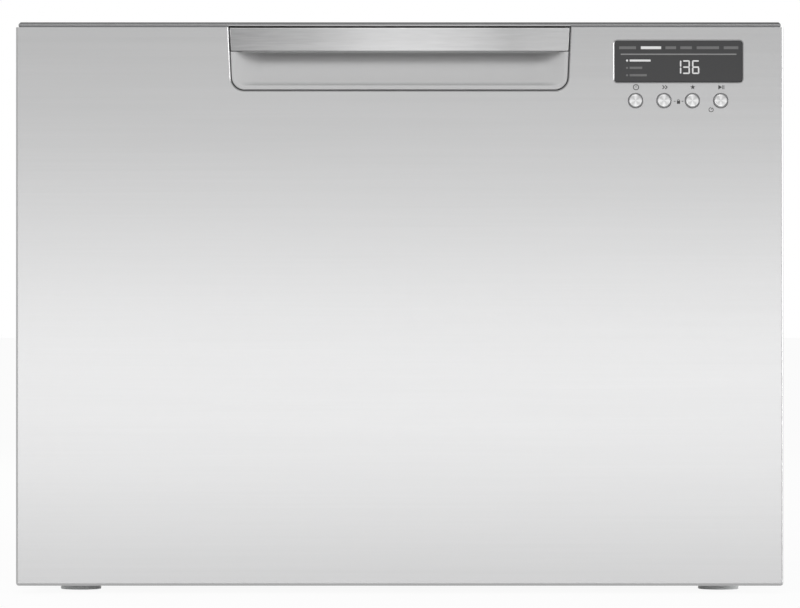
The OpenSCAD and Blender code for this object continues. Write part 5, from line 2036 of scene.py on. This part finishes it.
    def _thread(self) -> None:
        """Thread crests of the water inlet."""
        pitch, turns = 1.8 * MM, 5
        root, inner, length = 13.0 * MM, 12.9 * MM, turns * pitch
        profile = [(root, 0.0)]
        for k in range(turns):
            for radius, rise in ((13.25, 0.2), (13.8, 0.9), (13.25, 1.6)):
                profile.append((radius * MM, k * pitch + rise * MM))
        profile += [(root, length), (inner, length), (inner, 0.0), (root, 0.0)]
        bm = bmesh.new()
        lathe(bm, profile, self.inlet, (0.0, 1.0, 0.0), 48, False)
        add_piece("inlet_thread", mesh_from(bm, "inlet_thread"), "cabinet", WHITE)


# ---------- Tub ----------


@dataclass
class WashTub:
    """Tub, lid, wash system and dispenser.

    The wash system turns round X 0 at the depth cy. Each ring of pores has its radius and count.
    """

    cy: float = -0.0059
    pore_rings: tuple[tuple[float, int], ...] = ((0.0835, 150), (0.0805, 145), (0.0775, 140))
    pore_r: float = 0.7 * MM
    pore_z: float = 0.101
    nozzle: Point = (0.042, 0.0, 0.1228)
    nozzle_n: int = 7
    nozzle_span: float = 0.166
    ridge_low: Point = (-28.0 * MM, -223.5 * MM, 330.0 * MM)
    ridge_high: Point = (-16.0 * MM, -222.9 * MM, 331.0 * MM)
    ridge_step: float = 2.5 * MM
    ridge_n: int = 6
    screw_xs: Flat = (-0.23, 0.23)
    screw_zs: Flat = (0.1558, 0.3542)
    shaft: float = 5.3 * MM
    plate_y: float = -0.2572
    plain: tuple[tuple[str, str, Finish, float], ...] = (
        ("tub", "drawer", TUB, 1.2), ("motor_housing", "drawer", GREY, 0.8),
        ("drain_pump", "drawer", DARK, 0.8), ("heater_plate", "drawer", FILTER, 0.2),
        ("filter_plate", "drawer", FILTER, 0.4),
        ("dispenser", "drawer", WHITE, 0.8), ("lid", "lid", WHITE, 0.7),
        ("lid_seal", "lid", RUBBER, 1.0),
        ("lid_racks", "lid", WHITE, 0.15), ("drain_filter", "drain_filter", GREY, 0.4),
        ("wash_rotor", "wash_rotor", WHITE, 0.4), ("spray_arm", "spray_arm", GREY, 1.6),
        ("detergent_lid", "detergent_lid", GREY, 0.6), ("rinse_cap", "rinse_cap", BLUE, 0.6),
        ("lid_pinion_left", "lid_pinion_left", ORANGE, 0.15),
        ("lid_pinion_right", "lid_pinion_right", ORANGE, 0.15),
    )

    def build(self, patterns: Patterns) -> None:
        """Builds and dresses the tub.

        Args:
            patterns: the shared patterns.
        """
        for node, body, finish, edge in self.plain:
            dress(node, body, finish, edge * MM)
        self._pores(patterns)
        self._jets(patterns)
        self._cup_grip(patterns)
        self._fasteners()

    def _pores(self, patterns: Patterns) -> None:
        """Dark discs where the filter plate's pierced holes are: painted shade in place of the
        holes.

        Args:
            patterns: the shared patterns.
        """
        profile = [
            (1e-5, 0.0), (self.pore_r, 0.0), (self.pore_r, 0.08 * MM), (1e-5, 0.08 * MM),
        ]
        parts = []
        for radius, count in self.pore_rings:
            bm = bmesh.new()
            lathe(bm, profile, (radius, 0.0, self.pore_z), (0.0, 0.0, 1.0), 8)
            pore = mesh_from(bm, "pore")
            parts.append(patterns.ring.run(pore, HOLE_SHADE, Count=count, Centre=(0.0, self.cy, 0.0)))
        add_piece("filter_pores", joined(parts, "filter_pores"), "drawer", HOLE_SHADE)

    def _jets(self, patterns: Patterns) -> None:
        """Raised nozzles round the spray holes of both arms.

        Args:
            patterns: the shared patterns.
        """
        bm = bmesh.new()
        profile = [(1.3 * MM, 0.0), (2.9 * MM, 0.0), (2.5 * MM, 0.9 * MM), (1.3 * MM, 0.9 * MM)]
        lathe(bm, profile, self.nozzle, (0.0, 0.0, 1.0), 20)
        step = (self.nozzle_span / (self.nozzle_n - 1), 0.0, 0.0)
        row = patterns.repeat(mesh_from(bm, "nozzle"), GREY, self.nozzle_n, step)
        made = patterns.ring.run(row, GREY, Count=2, Centre=(0.0, self.cy, 0.0))
        add_piece("spray_nozzles", made, "spray_arm", GREY)

    def _cup_grip(self, patterns: Patterns) -> None:
        """Finger ridges on the detergent lid's catch.

        Args:
            patterns: the shared patterns.
        """
        bm = bmesh.new()
        cuboid(bm, self.ridge_low, self.ridge_high)
        rise = (0.0, 0.0, self.ridge_step)
        ridge = mesh_from(bm, "ridge")
        made = patterns.repeat(ridge, GREY, 1, NO_STEP, self.ridge_n, rise)
        add_piece("lid_ridges", made, "detergent_lid", GREY)

    def _fasteners(self) -> None:
        """Screws that hold the tub to the front's back plate."""
        bm = bmesh.new()
        for x in self.screw_xs:
            for z in self.screw_zs:
                Cabinet.screw(bm, (x, self.plate_y, z), (0.0, -1.0, 0.0), self.shaft)
        made = mesh_from(bm, "front_fasteners")
        add_piece("front_fasteners", made, "drawer", SCREW, ["front_screws"])


# ---------- Racks ----------


@dataclass
class Racks:
    """Wire racks, their clips and the cutlery basket.

    The large rack reaches from -x to x, from y0 to y1 and upwards from z.
    """

    x: float = 0.258
    y0: float = -0.2187
    y1: float = 0.2249
    z: float = 0.135
    side_h: float = 0.158
    front_h: float = 0.122
    wire: float = 0.002
    cross_n: int = 9
    long_n: int = 11
    tines: Flat = (-0.126, 0.004)
    hinge_z: float = 0.1413
    tine_h: float = 0.095
    tine_y0: float = -0.2007
    tine_y1: float = 0.2069
    tine_n: int = 11
    shelf_x: float = 0.25
    shelf_z: float = 0.2993
    shelf_w: float = 0.098
    shelf_pitch: float = 0.034
    shelf_y0: Flat = (-0.2087, -0.0287)
    shelf_y1: float = 0.2149
    mesh_pitch: float = 0.0085
    basket_top: float = 0.2673

    def build(self, patterns: Patterns) -> None:
        """Builds the racks and the basket.

        Args:
            patterns: the shared patterns.
        """
        self._base(patterns)
        self._tines(patterns)
        self._shelves(patterns)
        dress("rack_clips", "drawer", GREY, 0.4 * MM)
        self._basket(patterns)

    def _base(self, patterns: Patterns) -> None:
        """The large rack: bent wires both ways and rails round it.

        Args:
            patterns: the shared patterns.
        """
        r, x, floor = self.wire, self.x - self.wire, self.z + self.wire
        low, high = self.y0 + r, self.y1 - r
        top = self.z + self.side_h - r
        front = self.z + self.front_h - r
        step_y, step_x = (high - low) / (self.cross_n + 1), 2 * x / (self.long_n + 1)
        y, left, half = low + step_y, -x + step_x, (front - floor) / 2
        bend, rail_bend = 8 * MM, 6 * MM
        parts = [
            patterns.wire_row(
                [(-x, y, top), (-x, y, floor), (x, y, floor), (x, y, top)],
                r, self.cross_n, (0.0, step_y, 0.0), bend,
            ),
            patterns.wire_row(
                [(left, low, front), (left, low, floor), (left, high, floor), (left, high, top)],
                r, self.long_n, (step_x, 0.0, 0.0), bend,
            ),
        ]
        y = low + 2 * r
        for k in (1, 2, 3):
            z = floor + (top - floor) * k / 3
            loop = [(-x, y, z), (-x, high, z), (x, high, z), (x, y, z)]
            parts.append(patterns.wire_row(loop, r, bend=rail_bend))
        front_rail = [(-x, low, floor + half), (x, low, floor + half)]
        parts.append(patterns.wire_row(front_rail, r, 2, (0.0, 0.0, half)))
        for edge in (-x, x):
            rise = [
                (edge, low, floor), (edge, low, front),
                (edge, low + 14 * MM, top), (edge, low + 30 * MM, top),
            ]
            parts.append(patterns.wire_row(rise, r, bend=rail_bend))
            parts.append(patterns.wire_row([(edge, low, floor), (edge, high, floor)], r))
        ends = [(-x, low, floor), (x, low, floor)]
        parts.append(patterns.wire_row(ends, r, 2, (0.0, high - low, 0.0)))
        made = joined(parts, "base_rack_made")
        add_piece("base_rack_made", made, "drawer", WIRE, ["base_rack"], 60.0)

    def _tines(self, patterns: Patterns) -> None:
        """Fold-down rows of tines.

        Args:
            patterns: the shared patterns.
        """
        step = (0.0, (self.tine_y1 - self.tine_y0) / (self.tine_n - 1), 0.0)
        low, top, margin = self.hinge_z, self.hinge_z + self.tine_h, 12 * MM
        near, far = self.tine_y0 - margin, self.tine_y1 + margin
        profile = [
            (1e-5, 0.0), (0.9 * MM, -0.2 * MM), (1.5 * MM, -0.8 * MM), (1.75 * MM, -1.9 * MM),
            (1.75 * MM, -6.0 * MM), (1e-5, -6.0 * MM),
        ]
        for name, x in zip(("left", "right"), self.tines):
            rod = patterns.wire_row([(x, near, low), (x, far, low)], self.wire)
            pin = [(x, self.tine_y0, low), (x, self.tine_y0, top - 1.6 * MM)]
            pins = patterns.wire_row(pin, 1.7 * MM, self.tine_n, step)
            bm = bmesh.new()
            lathe(bm, profile, (x, self.tine_y0, top), (0.0, 0.0, 1.0), 14)
            tips = patterns.repeat(mesh_from(bm, "tip"), WIRE, self.tine_n, step)
            node = "tine_row_" + name
            add_piece(node + "_made", joined([rod, pins, tips], node), node, WIRE, [node], 60.0)

    def _shelves(self, patterns: Patterns) -> None:
        """Cup shelves that fold up on the side rails.

        Args:
            patterns: the shared patterns.
        """
        thin, r, z, y1 = 1.4 * MM, self.wire, self.shelf_z, self.shelf_y1
        for name, side, y0 in zip(("left", "right"), (-1, 1), self.shelf_y0):
            rail = side * self.shelf_x
            count = round((y1 - y0) / self.shelf_pitch)
            step = (0.0, (y1 - y0 - 2 * r) / count, 0.0)
            out = side * (self.shelf_x - self.shelf_w + r)
            mid = side * (self.shelf_x - self.shelf_w / 2 + r)
            parts = [
                patterns.wire_row([(rail, y0, z), (rail, y1, z)], r),
                patterns.wire_row([(rail, y0 + r, z), (out, y0 + r, z)], thin, count + 1, step),
                patterns.wire_row([(out, y0, z), (out, y1, z)], thin),
                patterns.wire_row([(mid, y0, z), (mid, y1, z)], thin),
            ]
            node = "cup_rack_" + name
            add_piece(node + "_made", joined(parts, node), node, WIRE, [node], 60.0)

    @staticmethod
    def _cell(u: Vector, v: Vector, thick: Vector, origin: Vector, share: float) -> bpy.types.Mesh:
        """One mesh of the basket's openwork: a square frame round a hole.

        Args:
            u: along the cell.
            v: up the cell.
            thick: through the wall.
            origin: the cell's lowest corner.
            share: how much of the cell is open.

        Returns:
            The frame.
        """
        bm = bmesh.new()
        near = (1 - share) / 2
        outer = [(0, 0), (1, 0), (1, 1), (0, 1)]
        inner = [(near, near), (1 - near, near), (1 - near, 1 - near), (near, 1 - near)]
        rings = []
        for corners, depth in ((outer, 0), (inner, 0), (inner, 1), (outer, 1)):
            rings.append([origin + u * a + v * b + thick * depth for a, b in corners])
        ring_loft(bm, rings + [rings[0]], caps=False)
        return mesh_from(bm, "cell")

    def _panel(
        self, patterns: Patterns, origin: Vector,
        along: Vector, upward: Vector, thick: Vector, share: float = 0.62,
    ) -> bpy.types.Mesh:
        """One openwork panel of the basket.

        Args:
            patterns: the shared patterns.
            origin: its lowest corner.
            along: its length.
            upward: its height.
            thick: its thickness.
            share: how much of each cell is open.

        Returns:
            The panel.
        """
        columns = max(1, round(along.length / self.mesh_pitch))
        rows = max(1, round(upward.length / self.mesh_pitch))
        u, v = along / columns, upward / rows
        return patterns.repeat(self._cell(u, v, thick, origin, share), BASKET, columns, u, rows, v)

    def _basket(self, patterns: Patterns) -> None:
        """Openwork cutlery basket with six cells and a loop handle.

        Args:
            patterns: the shared patterns.
        """
        low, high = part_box("cutlery_basket")
        base, top = low.z, self.basket_top
        wall, inset = 2 * MM, 3 * MM
        x, y, z = low.x + inset, low.y + inset, base + 2 * MM
        deep = high.y - low.y
        mid = (low.x + high.x) / 2 - wall / 2
        across = Vector((high.x - low.x - 2 * inset, 0, 0))
        along = Vector((0, deep - 2 * inset, 0))
        up = Vector((0, 0, top - base - 7 * MM))
        through_x, through_y = Vector((wall, 0, 0)), Vector((0, wall, 0))
        inner = [low.y + wall + k * ((deep - 4 * wall) / 3 + wall) - wall for k in (1, 2)]
        panels = [(Vector((x, a, z)), across, up, through_y) for a in (low.y, high.y - wall)]
        panels += [(Vector((a, y, z)), along, up, through_x) for a in (low.x, high.x - wall, mid)]
        panels += [(Vector((x, a, z)), across, up, through_y) for a in inner]
        panels += [(Vector((x, y, base)), across, along, Vector((0, 0, wall)), 0.5)]
        parts = [self._panel(patterns, *panel) for panel in panels]
        parts.append(self._basket_edges(low, high, base, top, mid, wall))
        made = joined(parts, "basket_made")
        add_piece("basket_made", made, "drawer", BASKET, ["cutlery_basket"], 40.0)

    @staticmethod
    def _basket_edges(
        low: Vector, high: Vector, base: float, top: float, mid: float, wall: float
    ) -> bpy.types.Mesh:
        """Corner posts, rim bands and handle of the basket.

        Args:
            low: lowest corner of the basket.
            high: highest corner of the basket.
            base: height of its floor.
            top: height of its rim.
            mid: place of the middle wall.
            wall: wall thickness.

        Returns:
            The edges as one mesh.
        """
        bm = bmesh.new()
        r, thin = 6 * MM, 6 * MM - wall
        turns = [math.pi / 2 * k / 6 for k in range(7)]
        for x, sx in ((low.x, 1), (high.x, -1)):
            for y, sy in ((low.y, 1), (high.y, -1)):
                post = [
                    (x + sx * (r - reach * math.cos(t)), y + sy * (r - reach * math.sin(t)))
                    for reach, ts in ((r, turns), (thin, turns[::-1])) for t in ts
                ]
                ring_loft(bm, [[Vector((a, b, z)) for a, b in post] for z in (base, top)])
        for z0, z1 in ((base, base + 2.5 * MM), (top - 6 * MM, top)):
            for y in (low.y, high.y - wall):
                cuboid(bm, (low.x + 5 * MM, y, z0), (high.x - 5 * MM, y + wall, z1))
            for x in (low.x, high.x - wall, mid):
                cuboid(bm, (x, low.y + 5 * MM, z0), (x + wall, high.y - 5 * MM, z1))
        quarter = (high.y - low.y) / 4
        y0, y1, leg = low.y + quarter, high.y - quarter, 4 * MM
        r, crown, middle = 12 * MM, high.z, mid + wall / 2
        path = [(y0 + leg, top - 6 * MM), (y0 + leg, crown - r)]
        path += [
            (y0 + leg + r - r * math.cos(t), crown - r + (r - leg) * math.sin(t))
            for t in turns[1:]
        ]
        path += [(y0 + y1 - a, b) for a, b in reversed(path)]
        core = Vector((middle, (y0 + y1) / 2, top - 20 * MM))
        side = Vector((2.4 * MM, 0, 0))
        rings = []
        for a, b in path:
            point = Vector((middle, a, b))
            out = (point - core).normalized() * 3.6 * MM
            rings.append([point + side + out, point - side + out])
            rings[-1] += [point - side - out, point + side - out]
        ring_loft(bm, rings)
        return mesh_from(bm, "basket_edges")


# ---------- Hoses ----------


@dataclass
class Hose:
    """A hose or loom that loops between the tray and the moving drawer.

    Its fixed leg lies on the tray and its moving leg under the drawer, each with its X and the Y
    of its end. Ribs or ties follow each other by the pitch, and the ripple is their depth.
    """

    node: str
    finish: Finish
    fixed: float
    moving: float
    fixed_y: float
    moving_y: float
    radius: float
    pitch: float
    ripple: float
    level: float = 0.05
    turn_y: float = -0.0959

    def _path(self) -> list[Vector]:
        """The middle line, with four points for each rib.

        Returns:
            Its points from the fixed to the moving end.
        """
        fine = self.pitch / 4
        centre, bend = (self.fixed + self.moving) / 2, (self.fixed - self.moving) / 2
        steps = max(2, round((self.fixed_y - self.turn_y) / fine))
        run = self.turn_y - self.fixed_y
        flat = [(self.fixed, self.fixed_y + run * k / steps) for k in range(steps)]
        turns = max(16, round(math.pi * abs(bend) / fine))
        for k in range(turns + 1):
            a = math.pi * k / turns
            flat.append((centre + bend * math.cos(a), self.turn_y - abs(bend) * math.sin(a)))
        steps = max(2, round((self.moving_y - self.turn_y) / fine))
        run = self.moving_y - self.turn_y
        flat += [(self.moving, self.turn_y + run * k / steps) for k in range(1, steps + 1)]
        return [Vector((x, y, self.level)) for x, y in flat]

    def build(self) -> None:
        """Builds the loop, which rides on no body."""
        path = self._path()
        waves = [0.5 - 0.5 * math.cos(math.pi / 2 * k) for k in range(len(path))]
        bm = bmesh.new()
        tube(bm, path, [self.radius - self.ripple * wave for wave in waves], 16)
        made = mesh_from(bm, self.node)
        piece = add_piece(self.node + "_made", made, None, self.finish, (), 80.0)
        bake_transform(piece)
        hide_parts(self.node)


HOSES = (
    Hose(
        "drain_hose", RUBBER, fixed=0.225, moving=0.091, fixed_y=0.2299, moving_y=0.1241,
        radius=7.2 * MM, pitch=5.0 * MM, ripple=0.55 * MM,
    ),
    Hose(
        "fill_hose", BLACK, fixed=0.1922, moving=0.1162, fixed_y=0.1819, moving_y=0.1141,
        radius=4.85 * MM, pitch=3.2 * MM, ripple=0.14 * MM,
    ),
    Hose(
        "wiring_loom", BLACK, fixed=-0.14, moving=-0.07, fixed_y=0.0541, moving_y=0.1141,
        radius=3.8 * MM, pitch=9.0 * MM, ripple=0.18 * MM,
    ),
)


def main() -> None:
    """Builds the studio and every sub-assembly in order."""
    logging.basicConfig(level=logging.INFO, format="%(name)s: %(message)s")
    Studio().build()
    patterns = Patterns()
    DrawerFront().build()
    Controls().build(patterns)
    Cabinet().build(patterns)
    WashTub().build(patterns)
    Racks().build(patterns)
    for hose in HOSES:
        hose.build()


if __name__ == "__main__":
    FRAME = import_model()
    main()
